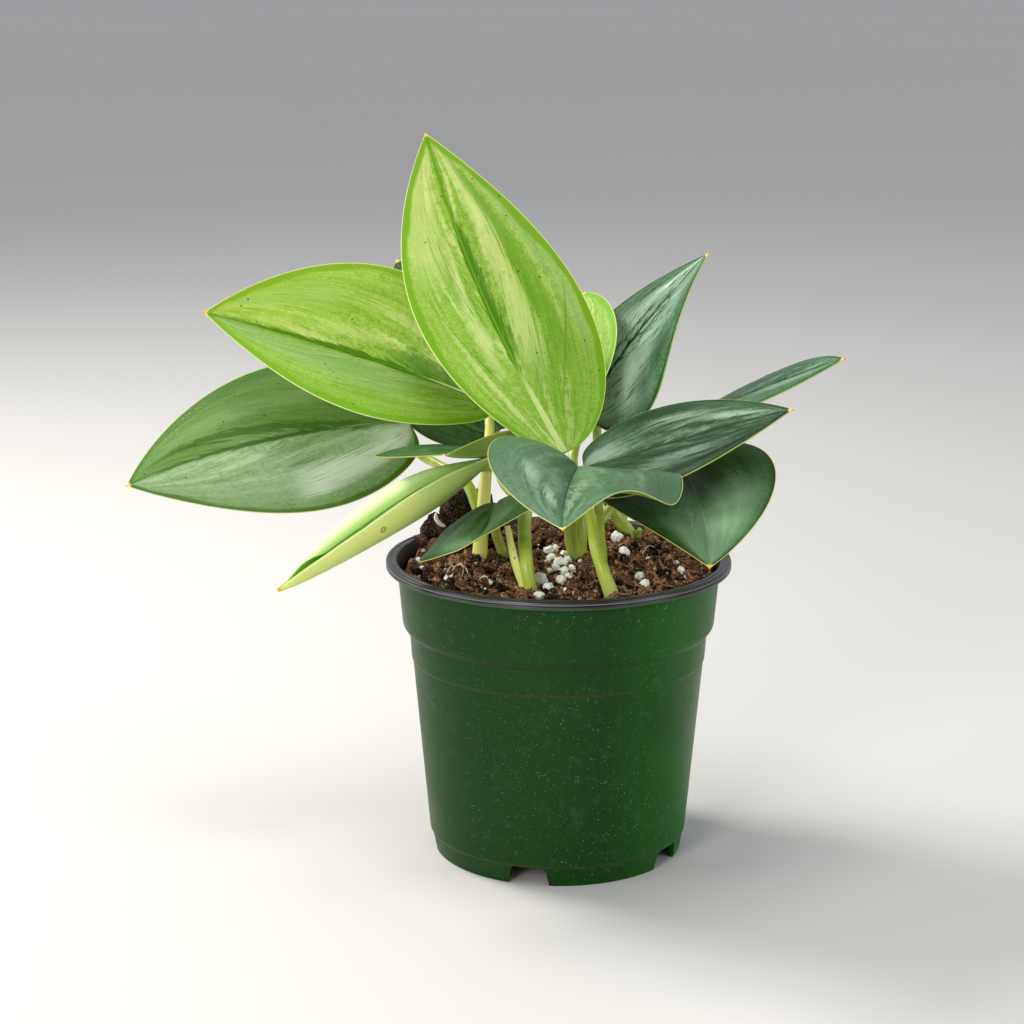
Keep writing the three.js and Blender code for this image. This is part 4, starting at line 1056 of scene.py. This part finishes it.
def pot_finishes(settings):
    """The dusty green outer side, and the black lip and inside, both with painted highlights."""
    green = Finish("pot_green", Specular_IOR_Level=0.13)
    place = green.place()
    x, y, z = green.split(place)
    haze = green.cloud(place, 26.0, 4.0)
    green.coat(haze, settings.green_worn, under=settings.green)
    # Dark seams above the foot, and below and above the collar.
    foot, wall, collar = (
        green.ramp(green.distance(z, level), 0.0008, 0.0002) for level in (0.0068, 0.0669, 0.0768))
    seams = green.maths("MAXIMUM", green.maths("MAXIMUM", foot, wall), collar)
    green.coat(green.times(seams, 0.55), tint(52, 58, 22))
    # A painted light on the right of the pot: a brighter green band where the light falls.
    painted_light_right = green.times(green.ramp(x, 0.012, 0.045), green.ramp(haze, 0.2, 0.6, 0.4, 0.9))
    green.coat(painted_light_right, tint(26, 88, 16))
    # A painted highlight: a paler green line just under the lip.
    green.coat(green.times(green.ramp(z, 0.0964, 0.0969), 0.5), tint(70, 120, 60))
    patch = green.ramp(green.cloud(place, 34.0, 4.0), 0.3, 0.6, 0.3, 1.0)
    side = green.ramp(x, -0.05, 0.05, 0.5, 1.0)
    dots = green.specks(green.cells(place, 1300.0), 0.32, 0.16,
                        green.cloud(place, 900.0), 0.56, 0.62)
    turned = green.vector(green.times(x, 0.3, z), green.times(y, 0.3), green.less(x, z))
    scuffs = green.specks(green.cells(turned, 430.0), 0.16, 0.06,
                          green.cloud(place, 90.0), 0.5, 0.6)
    film = green.ramp(green.cloud(place, 300.0, 5.0), 0.5, 0.8)
    dust = green.times(film, 0.12, green.maths("MAXIMUM", dots, scuffs))
    dust = green.times(dust, green.times(patch, side))
    green.coat(green.times(dust, settings.dust), tint(150, 180, 146))
    green.bump(green.cloud(place, 1500.0), 0.00006, 0.4)
    green.feed(green.shader.inputs["Roughness"], green.ramp(haze, 0.3, 0.7, 0.34, 0.46))

    lip = Finish("pot_lip", Roughness=0.34, Specular_IOR_Level=0.5)
    place = lip.place()
    worn = lip.ramp(lip.cloud(place, 60.0, 4.0), 0.3, 0.8)
    lip.coat(worn, tint(60, 60, 64), under=settings.lip)
    # A painted highlight: a pale line along the outer side of the lip.
    edge = lip.ramp(lip.distance(lip.split(place)[2], 0.0994), 0.0003, 0.0001)
    lip.coat(lip.times(edge, 0.5), tint(130, 130, 134))
    scratch = lip.ramp(lip.cells(place, 260.0), 0.07, 0.03)
    lip.coat(lip.times(scratch, 0.6), tint(150, 150, 150))
    lip.bump(lip.cloud(place, 1200.0), 0.00005, 0.4)
    return [green, lip]


def throw_pot(settings):
    section = pot_section()
    angle = np.linspace(0, 2 * np.pi, POT_SEGMENTS, endpoint=False)
    body = section[1:-1]
    rings = np.stack([
        body[:, None, 0] * np.cos(angle), body[:, None, 0] * np.sin(angle),
        np.repeat(body[:, None, 1], POT_SEGMENTS, axis=1)], axis=-1)
    ends = [(0, 0, section[0][1]), (0, 0, section[-1][1])]
    points = np.concatenate([rings.reshape(-1, 3), ends])
    faces = grid_faces(len(body), POT_SEGMENTS, closed=True) + end_fans(len(body), POT_SEGMENTS)
    pot = make_piece("nursery_pot_shell", points, faces, {}, pot_finishes(settings),
                     crease=POT_CREASE)
    cutters = []
    for i in range(NOTCH_COUNT):
        turn = 360 * i / NOTCH_COUNT - NOTCH_TURN
        cutters += [cutter(NOTCH, NOTCH_REACH, turn), cutter(SLOT, SLOT_REACH, turn)]
    for tool in cutters:
        cut = pot.modifiers.new("cut", "BOOLEAN")
        cut.operation = "DIFFERENCE"
        cut.solver = "EXACT"
        cut.object = tool
    ready = pot.evaluated_get(bpy.context.evaluated_depsgraph_get())
    mesh = bpy.data.meshes.new_from_object(ready)
    pot.modifiers.clear()
    pot.data = mesh
    work = bmesh.new()
    work.from_mesh(mesh)
    bmesh.ops.remove_doubles(work, verts=work.verts, dist=0.001 * MM)
    work.to_mesh(mesh)
    work.free()
    for tool in cutters:
        bpy.data.objects.remove(tool)
    # The lip and the inside are black: what lies over the lip's foot or within the inner wall.
    wall = np.array(POT_INSIDE[4::-1])
    for face in mesh.polygons:
        reach = math.hypot(face.center.x, face.center.y) / MM
        height = face.center.z / MM
        within = height > 7 and reach < np.interp(height, wall[:, 1], wall[:, 0]) + 0.4
        face.material_index = 1 if height > LIP_FOOT + 0.25 or within else 0
        face.use_smooth = True
    mesh.set_sharp_from_angle(angle=math.radians(POT_CREASE))
    settle(pot, "nursery_pot")


def soil_height(x, y):
    """The height of the mix at a place, without its clods."""
    height = SOIL_LEVEL
    for at_x, at_y, rise, spread in MOUNDS:
        height += rise * math.exp(-((x - at_x) ** 2 + (y - at_y) ** 2) / spread**2)
    return height


def soil_surface(x, y, clods):
    """The height of the mix at a place, with its clods, crevices and crumbs."""
    warp = 1.6 * noise.noise(Vector((x / 7, y / 7, 5.0)))
    near, _ = noise.voronoi(Vector(((x + warp) / 5.4, (y - warp) / 5.4, 3.1)))
    clod = clods * (0.8 - 1.5 * near[0] ** 1.4)
    small, _ = noise.voronoi(Vector((x / 2.2, y / 2.2, 9.7)))
    crumb = 2.2 * (0.5 - small[0])
    rough = noise.fractal(Vector((x / 1.4, y / 1.4, 1.3)), 0.8, 2.0, 4)
    return max(soil_height(x, y) - 1.0 + clod + crumb + 0.7 * rough, soil_height(x, y) - 5)


def soil_finish(settings):
    """Dark soil with painted shade in its crevices, flecked with pale brown fibre, rust and grit.
    """
    soil = Finish("damp_soil", Roughness=0.9, Specular_IOR_Level=0.2)
    place = soil.place()
    lumps = soil.cloud(place, 230.0, 5.0, 0.65)
    level = soil.times(soil.attribute("shade"), 0.7, lumps)
    # The low soil in the crevices takes the crevice colour, a painted shade; the higher soil keeps
    # its own colour, and the pale fibre shows only there.
    soil.coat(soil.ramp(level, 0.62, 1.25), settings.soil, under=settings.crevice_shade)
    grit = soil.cloud(place, 2100.0, 3.0, 0.6)
    fibre = soil.ramp(soil.cloud(place, 950.0, 3.0, 0.6), 0.52, 0.6)
    soil.coat(soil.times(fibre, soil.ramp(level, 0.6, 0.9)), tint(224, 176, 132))
    soil.brush(grit, 0.52, 0.42, 0.9, tint(18, 11, 7))
    rust = soil.ramp(soil.cloud(place, 300.0), 0.6, 0.7)
    soil.coat(soil.times(rust, 0.5), tint(120, 62, 36))
    dots = soil.specks(soil.cells(place, 620.0), 0.26, 0.14, soil.cloud(place, 240.0), 0.5, 0.56)
    soil.coat(soil.times(dots, 0.9), tint(236, 220, 196))
    soil.bump(soil.times(grit, 0.7, lumps), 0.0016, 1.0)
    return soil


def bark_finish(settings):
    """Dark bark with a long grain, rusty patches, worn edges and pale dust."""
    bark = Finish("bark_chips", Roughness=0.85, Specular_IOR_Level=0.3)
    shade = bark.attribute("shade")
    place = bark.place()
    grain = bark.vector(bark.times(bark.attribute("grain"), 2.2), bark.attribute("length"), shade)
    grain = bark.cloud(grain, 1.0, 4.0, 0.6)
    bark.coat(bark.ramp(shade, 0.0, 1.0), settings.bark, under=tint(24, 15, 10))
    bark.brush(grain, 0.35, 0.65, 0.7, tint(34, 21, 14))
    bark.brush(bark.cloud(place, 330.0, 3.0), 0.58, 0.7, 0.6, tint(132, 74, 44))
    worn = bark.times(grain, 0.3, bark.attribute("edge"))
    bark.brush(worn, 0.34, 0.2, 0.7, tint(168, 126, 92))
    bark.brush(bark.cloud(place, 1500.0, 3.0), 0.55, 0.66, 0.5, tint(176, 136, 100))
    bark.bump(grain, 0.0012, 0.9)
    return bark


def perlite_finish(settings):
    """White grains with stains, and small pores darkened with painted shade."""
    perlite = Finish("perlite", Roughness=0.7, Specular_IOR_Level=0.6)
    place = perlite.place()
    pores = perlite.cells(place, 1500.0)
    stain = perlite.ramp(perlite.cloud(place, 350.0, 3.0), 0.58, 0.75, 0.0, 0.5)
    perlite.coat(stain, tint(226, 206, 170), under=settings.perlite)
    # Painted shade in the pores.
    perlite.brush(pores, 0.16, 0.05, 0.35, tint(120, 108, 92))
    perlite.bump(pores, 0.0006, 0.7)
    return perlite


def ball(subdivisions):
    """Corner points and faces of a round lump."""
    made = bpy.data.meshes.new("ball")
    work = bmesh.new()
    bmesh.ops.create_icosphere(work, subdivisions=subdivisions, radius=1)
    work.to_mesh(made)
    work.free()
    points = np.array([v.co for v in made.vertices])
    faces = [tuple(f.vertices) for f in made.polygons]
    bpy.data.meshes.remove(made)
    return points, faces


def spun(turn):
    """The rotation by three angles about x, y and z."""
    x, y, z = (Matrix.Rotation(angle, 3, axis) for angle, axis in zip(turn, "XYZ"))
    return np.array(z @ y @ x)


def lumps_mesh(lumps, subdivisions, roughness):
    """Rough lumps in one mesh. Each is (centre, size along x, y and z, turn, shade, seed)."""
    shape, skin = ball(subdivisions)
    meshes = []
    for centre, size, turn, shade, seed in lumps:
        rough = np.array([
            1 + roughness * noise.fractal(Vector(p) * 1.7 + Vector((seed, 0, 0)), 0.9, 2.0, 3)
            for p in shape])
        lump = shape * rough[:, None] * np.array(size) / 2
        meshes.append((lump @ spun(turn).T + np.array(centre), skin, {
            "shade": np.full(len(lump), shade), "grain": lump[:, 1] + lump[:, 2],
            "length": lump[:, 0] * 0.15, "edge": np.ones(len(lump)),
        }))
    return joined(meshes)


def flakes_mesh(flakes):
    """Thin curled flakes in one mesh. Each is (centre, length, width, curl, turn, shade, seed)."""
    u, w = np.meshgrid(np.linspace(-1, 1, 13), np.linspace(-1, 1, 11), indexing="ij")
    meshes = []
    for centre, length, width, curl, turn, shade, seed in flakes:
        torn = np.array([noise.fractal(Vector((a, b, seed)), 0.8, 2.0, 3)
                         for a, b in zip(u.ravel(), w.ravel())]).reshape(u.shape)
        x = u * length / 2 * (1 + 0.4 * torn)
        y = w * width / 2 * np.sqrt(1 - 0.6 * u**2) * (1 + 0.6 * torn)
        z = curl * width * (w**2 - 0.4) + 0.25 * width * torn
        skins = []
        for half in (FLAKE_HALF, -FLAKE_HALF):
            skin = np.stack([x, y, z + half], axis=-1).reshape(-1, 3)
            skins.append((skin @ spun(turn).T + np.array(centre)).reshape(*u.shape, 3))
        meshes.append(sheet_mesh(*skins, {
            "shade": np.full(u.shape, shade), "grain": y, "length": 0.15 * x,
            "edge": (1 - np.maximum(np.abs(u), np.abs(w))) * 1.6,
        })[:3])
    return joined(meshes)


def random_spot(draw, reach):
    """A place drawn evenly over the mix."""
    r, a = reach * math.sqrt(draw.random()), 2 * math.pi * draw.random()
    return r * math.cos(a), r * math.sin(a)


def spread_soil(settings):
    """The body of the mix and its crumbs, as two pieces."""
    radius = np.concatenate([[0.4], np.linspace(1, SOIL_EDGE, SOIL_RINGS - 1)])
    angle = np.linspace(0, 2 * np.pi, SOIL_SEGMENTS, endpoint=False)
    clods = settings.clods / MM
    points, shade = [], []
    for r in radius:
        fall = max(0.0, r - (SOIL_EDGE - 1.2)) * 1.5
        for a in angle:
            x, y = r * math.cos(a), r * math.sin(a)
            level = soil_surface(x, y, clods)
            points.append((x, y, level - fall))
            # The lower a point lies in a crevice, the lower its shade, which paints it darker:
            # painted shade in the crevices.
            shade.append(min(1.0, max(0.0, (level - soil_height(x, y) + 3.4) / 4.4)))
    for r, z in SOIL_UNDERSIDE:
        points += [(r * math.cos(a), r * math.sin(a), z) for a in angle]
    shade += [0.3] * (len(points) - len(shade))
    rings = SOIL_RINGS + len(SOIL_UNDERSIDE)
    faces = grid_faces(rings, SOIL_SEGMENTS, closed=True, turned=True)
    faces.append(tuple(range(SOIL_SEGMENTS)))
    faces.append(tuple(range(rings * SOIL_SEGMENTS - 1, (rings - 1) * SOIL_SEGMENTS - 1, -1)))
    finish = soil_finish(settings)
    soil = make_piece("soil", points, faces, {"shade": shade}, [finish], crease=180)
    settle(soil, "potting_mix")
    draw = np.random.default_rng(SOIL_SEED)
    crumbs = []
    for _ in range(settings.crumbs):
        x, y = random_spot(draw, CRUMB_REACH)
        size = 0.7 + 4.6 * draw.random() ** 4
        z = soil_height(x, y) - 0.6 + 1.6 * draw.random()
        stretch = (size, size * (0.6 + 0.4 * draw.random()), size * (0.5 + 0.4 * draw.random()))
        crumbs.append(((x, y, z), stretch, 6 * draw.random(3), draw.random(), 50 * draw.random()))
    piece = make_piece("soil_crumbs", *lumps_mesh(crumbs, 2, 0.5), [finish], crease=180)
    settle(piece, "potting_mix")


def lay_bark(settings):
    """The heaped chips, the scattered chips and the flakes, as one piece."""
    draw = np.random.default_rng(BARK_SEED)
    chips = []
    for x, y, z, length, width, tilt, turn, shade in CHIPS_IN_HEAP:
        turns = [math.radians(angle) for angle in (tilt / 2, tilt, turn)]
        chips.append(((x, y, z), (length, width, width * 0.6), turns, shade, 50 * draw.random()))
    for _ in range(settings.chips):
        x, y = random_spot(draw, CHIP_REACH)
        length = 4 + 6 * draw.random() ** 1.5
        width = length * (0.4 + 0.3 * draw.random())
        turns = (0.9 * (draw.random() - 0.5), 0.9 * (draw.random() - 0.5), 6.3 * draw.random())
        chips.append(((x, y, soil_height(x, y) + 0.3), (length, width, width * 0.5), turns,
                      draw.random(), 50 * draw.random()))
    flakes = []
    for index in range(settings.flakes):
        # Two flakes in three lie at the right, and the rest anywhere in front of the shoots.
        if index % 3:
            x, y = 27 + 14 * draw.normal(), -12 + 15 * draw.normal()
        else:
            x, y = 90 * draw.random() - 45, 70 * draw.random() - 42
        far = max(1.0, math.hypot(x, y) / FLAKE_REACH)
        x, y = x / far, y / far
        length = 2.4 + 4 * draw.random()
        width = length * (0.45 + 0.35 * draw.random())
        turns = (2.4 * draw.random() - 1.2, 1.6 * draw.random() - 0.8, 6.3 * draw.random())
        flakes.append(((x, y, soil_height(x, y) + 0.8 + 0.8 * draw.random()), length, width,
                       0.25 + 0.5 * draw.random(), turns, 0.8 * draw.random() ** 1.5,
                       50 * draw.random()))
    mesh = joined([lumps_mesh(chips, 3, 0.5), flakes_mesh(flakes)])
    piece = make_piece("bark", *mesh, [bark_finish(settings)], crease=50)
    settle(piece, "potting_mix")


def lay_roots():
    """The thin roots, as one piece."""
    tubes = []
    for path in ROOTS:
        path, run = smooth_path(path, 0.4)
        points, faces, _ = tube_mesh(path, 0.28 * (1 - 0.5 * run / run[-1]), 8)
        tubes.append((points, faces, {}))
    finish = mottled_finish("pale_roots", 0.7, 500.0, tint(150, 128, 100), tint(216, 202, 176))
    piece = make_piece("surface_roots", *joined(tubes), [finish])
    settle(piece, "potting_mix")


def scatter_perlite(settings):
    """The grains that catch the eye, the small ones and the curved one, as one piece."""
    draw = np.random.default_rng(PERLITE_SEED)
    grains = [(x, y, 0.4 * size, size) for x, y, size in GRAINS]
    for _ in range(settings.perlite_count):
        grains.append((*random_spot(draw, GRAIN_REACH), 0.5, 0.6 + 1.1 * draw.random() ** 2))
    lumps = []
    for x, y, lift, size in grains:
        stretch = size * (0.82 + 0.36 * draw.random(3))
        lumps.append(((x, y, soil_height(x, y) + lift), stretch, 6 * draw.random(3), 0.5,
                      50 * draw.random()))
    path, run = smooth_path(CURVED_GRAIN, 0.3)
    curved, skin, _ = tube_mesh(path, 0.25 + 0.5 * np.sin(np.pi * run / run[-1]) ** 0.5, 12)
    points, faces, _ = joined([lumps_mesh(lumps, 3, 0.32), (curved, skin, {})])
    piece = make_piece("perlite_grains", points, faces, {}, [perlite_finish(settings)], crease=180)
    settle(piece, "potting_mix")


def set_stage(settings):
    """A pale plain floor, soft light and the camera."""
    scene = bpy.context.scene
    pale = [0.97 * level for level in settings.floor]
    finish = mottled_finish("pale_floor", 0.75, 0.6, settings.floor, pale)
    corners = [(x * FLOOR_REACH, y * FLOOR_REACH, 0)
               for x, y in ((-1, -1), (1, -1), (1, 1), (-1, 1))]
    floor = make_piece("floor", corners, [(0, 1, 2, 3)], {}, [finish])
    scene.world = bpy.data.worlds.new("studio")
    scene.world.use_nodes = True
    backdrop = scene.world.node_tree.nodes["Background"]
    backdrop.inputs["Color"].default_value = SKY
    backdrop.inputs["Strength"].default_value = settings.sky
    for name, at, size, power, share, colour in LAMPS:
        lamp = bpy.data.objects.new(name, bpy.data.lights.new(name, "AREA"))
        lamp.data.shape = "DISK"
        lamp.data.size = size
        lamp.data.energy = getattr(settings, power) * share
        lamp.data.color = colour
        lamp.location = at
        lamp.rotation_mode = "QUATERNION"
        lamp.rotation_quaternion = (Vector(LAMP_AIM) - Vector(at)).to_track_quat("-Z", "Y")
        scene.collection.objects.link(lamp)
    camera = bpy.data.objects.new("camera", bpy.data.cameras.new("camera"))
    scene.collection.objects.link(camera)
    camera.data.lens = settings.lens
    camera.data.sensor_width = SENSOR_WIDTH
    camera.data.clip_end = FAR_CLIP
    camera.location = settings.camera_place
    camera.rotation_euler = (math.radians(90) - settings.camera_tilt, 0, 0)
    scene.camera = camera
    scene.view_settings.view_transform = "Standard"


class PlantLeafSettings(bpy.types.PropertyGroup):
    """Sizes and colours of the leaves."""

    thickness: bpy.props.FloatProperty(
        name="Blade thickness", description="How thick a blade is beside its midrib",
        default=0.0005, min=0.0002, max=0.001, precision=5, unit="LENGTH")
    gloss: bpy.props.FloatProperty(
        name="Roughness", description="How dull the upper side of a leaf is",
        default=0.36, min=0, max=1, subtype="FACTOR")
    young: bpy.props.FloatVectorProperty(
        name="Young leaf", description="Colour of the leaf that is still rolled",
        default=tint(190, 212, 120), min=0, max=1, subtype="COLOR")
    tip_colour: bpy.props.FloatVectorProperty(
        name="Tip", description="Colour of the pointed tip of a leaf",
        default=tint(222, 150, 44), min=0, max=1, subtype="COLOR")


class PlantStemSettings(bpy.types.PropertyGroup):
    """Colours of the shoots."""

    green: bpy.props.FloatVectorProperty(
        name="Green", description="Main colour of the petioles",
        default=tint(158, 178, 50), min=0, max=1, subtype="COLOR")
    pale: bpy.props.FloatVectorProperty(
        name="Pale streaks", description="Colour of the pale streaks along the petioles",
        default=tint(190, 204, 100), min=0, max=1, subtype="COLOR")


class PlantPotSettings(bpy.types.PropertyGroup):
    """Colours and wear of the pot."""

    green: bpy.props.FloatVectorProperty(
        name="Green", description="Colour of the pot's outer side",
        default=tint(10, 49, 4), min=0, max=1, subtype="COLOR")
    green_worn: bpy.props.FloatVectorProperty(
        name="Worn green", description="Colour where the pot's outer side is hazy",
        default=tint(15, 57, 12), min=0, max=1, subtype="COLOR")
    lip: bpy.props.FloatVectorProperty(
        name="Lip", description="Colour of the lip and the inside of the pot",
        default=tint(17, 15, 15), min=0, max=1, subtype="COLOR")
    dust: bpy.props.FloatProperty(
        name="Dust", description="How much pale dust clings to the pot",
        default=0.4, min=0, max=1, subtype="FACTOR")


class PlantMixSettings(bpy.types.PropertyGroup):
    """Make-up of the potting mix."""

    clods: bpy.props.FloatProperty(
        name="Clods", description="How far the clods of soil stand up",
        default=0.0042, min=0, max=0.006, precision=4, unit="LENGTH")
    crumbs: bpy.props.IntProperty(
        name="Crumbs", description="How many loose crumbs lie on the soil",
        default=1700, min=0, max=2400)
    chips: bpy.props.IntProperty(
        name="Bark chips", description="How many bark chips lie on the soil",
        default=46, min=0, max=120)
    flakes: bpy.props.IntProperty(
        name="Flakes", description="How many thin curled flakes of bark lie on the soil",
        default=50, min=0, max=200)
    perlite_count: bpy.props.IntProperty(
        name="Small grains", description="How many small perlite grains lie on the soil",
        default=70, min=0, max=200)
    soil: bpy.props.FloatVectorProperty(
        name="Soil", description="Main colour of the soil",
        default=tint(168, 119, 84), min=0, max=1, subtype="COLOR")
    # Painted shade: the near-black laid in the crevices of the soil.
    crevice_shade: bpy.props.FloatVectorProperty(
        name="Crevice shade", description="Colour of the painted shade in the crevices of the soil",
        default=tint(16, 10, 7), min=0, max=1, subtype="COLOR")
    bark: bpy.props.FloatVectorProperty(
        name="Bark", description="Colour of the palest bark",
        default=tint(122, 80, 54), min=0, max=1, subtype="COLOR")
    perlite: bpy.props.FloatVectorProperty(
        name="Perlite", description="Colour of the perlite grains",
        default=tint(255, 255, 252), min=0, max=1, subtype="COLOR")


class PlantStageSettings(bpy.types.PropertyGroup):
    """Camera, light and floor."""

    lens: bpy.props.FloatProperty(
        name="Lens", description="Focal length of the camera in millimetres",
        default=85, min=20, max=200, subtype="NONE")
    camera_place: bpy.props.FloatVectorProperty(
        name="Camera place", description="Where the camera stands",
        default=(-0.0155, -0.781, 0.3026), subtype="TRANSLATION", unit="LENGTH")
    camera_tilt: bpy.props.FloatProperty(
        name="Camera tilt", description="How far the camera looks down",
        default=math.radians(13.46), subtype="ANGLE", unit="ROTATION")
    floor: bpy.props.FloatVectorProperty(
        name="Floor", description="Colour of the floor",
        default=(0.52, 0.517, 0.51), min=0, max=1, subtype="COLOR")
    sky: bpy.props.FloatProperty(
        name="Surrounding light", description="Strength of the even light from all round",
        default=0.62, min=0, max=5)
    key: bpy.props.FloatProperty(
        name="Main light", description="Power of the main light", default=16, unit="POWER")
    fill: bpy.props.FloatProperty(
        name="Fill light", description="Power of the lights above and at the sides",
        default=4, unit="POWER")
    front: bpy.props.FloatProperty(
        name="Front light", description="Power of the light at the front left",
        default=7, unit="POWER")


class PLANT_OT_pot(bpy.types.Operator):
    """Mould the nursery pot with its lip, collar, foot notches and drain slots"""

    bl_idname = "plant.pot"
    bl_label = "Nursery Pot"

    def execute(self, context):
        throw_pot(context.scene.plant_pot)
        return {"FINISHED"}


class PLANT_OT_soil(bpy.types.Operator):
    """Fill the pot with soil and loose crumbs"""

    bl_idname = "plant.soil"
    bl_label = "Soil"

    def execute(self, context):
        spread_soil(context.scene.plant_mix)
        return {"FINISHED"}


class PLANT_OT_bark(bpy.types.Operator):
    """Lay the bark on the soil and heap the large chips at the back left"""

    bl_idname = "plant.bark"
    bl_label = "Bark Chips"

    def execute(self, context):
        lay_bark(context.scene.plant_mix)
        return {"FINISHED"}


class PLANT_OT_roots(bpy.types.Operator):
    """Lay the thin roots that surface from the mix"""

    bl_idname = "plant.roots"
    bl_label = "Surface Roots"

    def execute(self, context):
        lay_roots()
        return {"FINISHED"}


class PLANT_OT_perlite(bpy.types.Operator):
    """Scatter the perlite grains"""

    bl_idname = "plant.perlite"
    bl_label = "Perlite"

    def execute(self, context):
        scatter_perlite(context.scene.plant_mix)
        return {"FINISHED"}


class PLANT_OT_shoots(bpy.types.Operator):
    """Grow the shoots and the petioles up to each leaf"""

    bl_idname = "plant.shoots"
    bl_label = "Shoots"

    def execute(self, context):
        grow_shoots(context.scene.plant_stems)
        return {"FINISHED"}


class PLANT_OT_lime_leaves(bpy.types.Operator):
    """Grow the young lime leaves with their cream streaks"""

    bl_idname = "plant.lime_leaves"
    bl_label = "Lime Leaves"

    def execute(self, context):
        grow_leaves(LIME_LEAVES, context.scene.plant_leaves)
        return {"FINISHED"}


class PLANT_OT_green_leaves(bpy.types.Operator):
    """Grow the older green leaves with their silver sheen"""

    bl_idname = "plant.green_leaves"
    bl_label = "Green Leaves"

    def execute(self, context):
        grow_leaves(GREEN_LEAVES, context.scene.plant_leaves)
        return {"FINISHED"}


class PLANT_OT_rolled_leaf(bpy.types.Operator):
    """Roll up the youngest leaf"""

    bl_idname = "plant.rolled_leaf"
    bl_label = "Rolled Leaf"

    def execute(self, context):
        grow_rolled_leaf(context.scene.plant_leaves)
        return {"FINISHED"}


class PLANT_OT_stage(bpy.types.Operator):
    """Set the floor, the lights and the camera"""

    bl_idname = "plant.stage"
    bl_label = "Stage"

    def execute(self, context):
        set_stage(context.scene.plant_stage)
        return {"FINISHED"}


SETTINGS = {
    "plant_leaves": PlantLeafSettings,
    "plant_stems": PlantStemSettings,
    "plant_pot": PlantPotSettings,
    "plant_mix": PlantMixSettings,
    "plant_stage": PlantStageSettings,
}
OPERATORS = (
    PLANT_OT_pot,
    PLANT_OT_soil,
    PLANT_OT_bark,
    PLANT_OT_roots,
    PLANT_OT_perlite,
    PLANT_OT_shoots,
    PLANT_OT_lime_leaves,
    PLANT_OT_green_leaves,
    PLANT_OT_rolled_leaf,
    PLANT_OT_stage,
)


class PLANT_PT_parts(bpy.types.Panel):
    """Lists the pieces of the potted plant"""

    bl_idname = "PLANT_PT_parts"
    bl_label = "Potted Scindapsus"
    bl_space_type = "VIEW_3D"
    bl_region_type = "UI"
    bl_category = "Plant"

    def draw(self, context):
        for operator in OPERATORS:
            self.layout.operator(operator.bl_idname)
        for name, group in SETTINGS.items():
            box = self.layout.box()
            box.label(text=group.__doc__)
            for key in group.__annotations__:
                box.prop(getattr(context.scene, name), key)


def register():
    for group in SETTINGS.values():
        bpy.utils.register_class(group)
    for name, group in SETTINGS.items():
        setattr(bpy.types.Scene, name, bpy.props.PointerProperty(type=group))
    for operator in OPERATORS:
        bpy.utils.register_class(operator)
    bpy.utils.register_class(PLANT_PT_parts)


def unregister():
    bpy.utils.unregister_class(PLANT_PT_parts)
    for operator in reversed(OPERATORS):
        bpy.utils.unregister_class(operator)
    for name in SETTINGS:
        delattr(bpy.types.Scene, name)
    for group in reversed(list(SETTINGS.values())):
        bpy.utils.unregister_class(group)


def main():
    register()
    bpy.ops.plant.pot()
    bpy.ops.plant.soil()
    bpy.ops.plant.bark()
    bpy.ops.plant.roots()
    bpy.ops.plant.perlite()
    bpy.ops.plant.shoots()
    bpy.ops.plant.lime_leaves()
    bpy.ops.plant.green_leaves()
    bpy.ops.plant.rolled_leaf()
    bpy.ops.plant.stage()


if __name__ == "__main__":
    main()
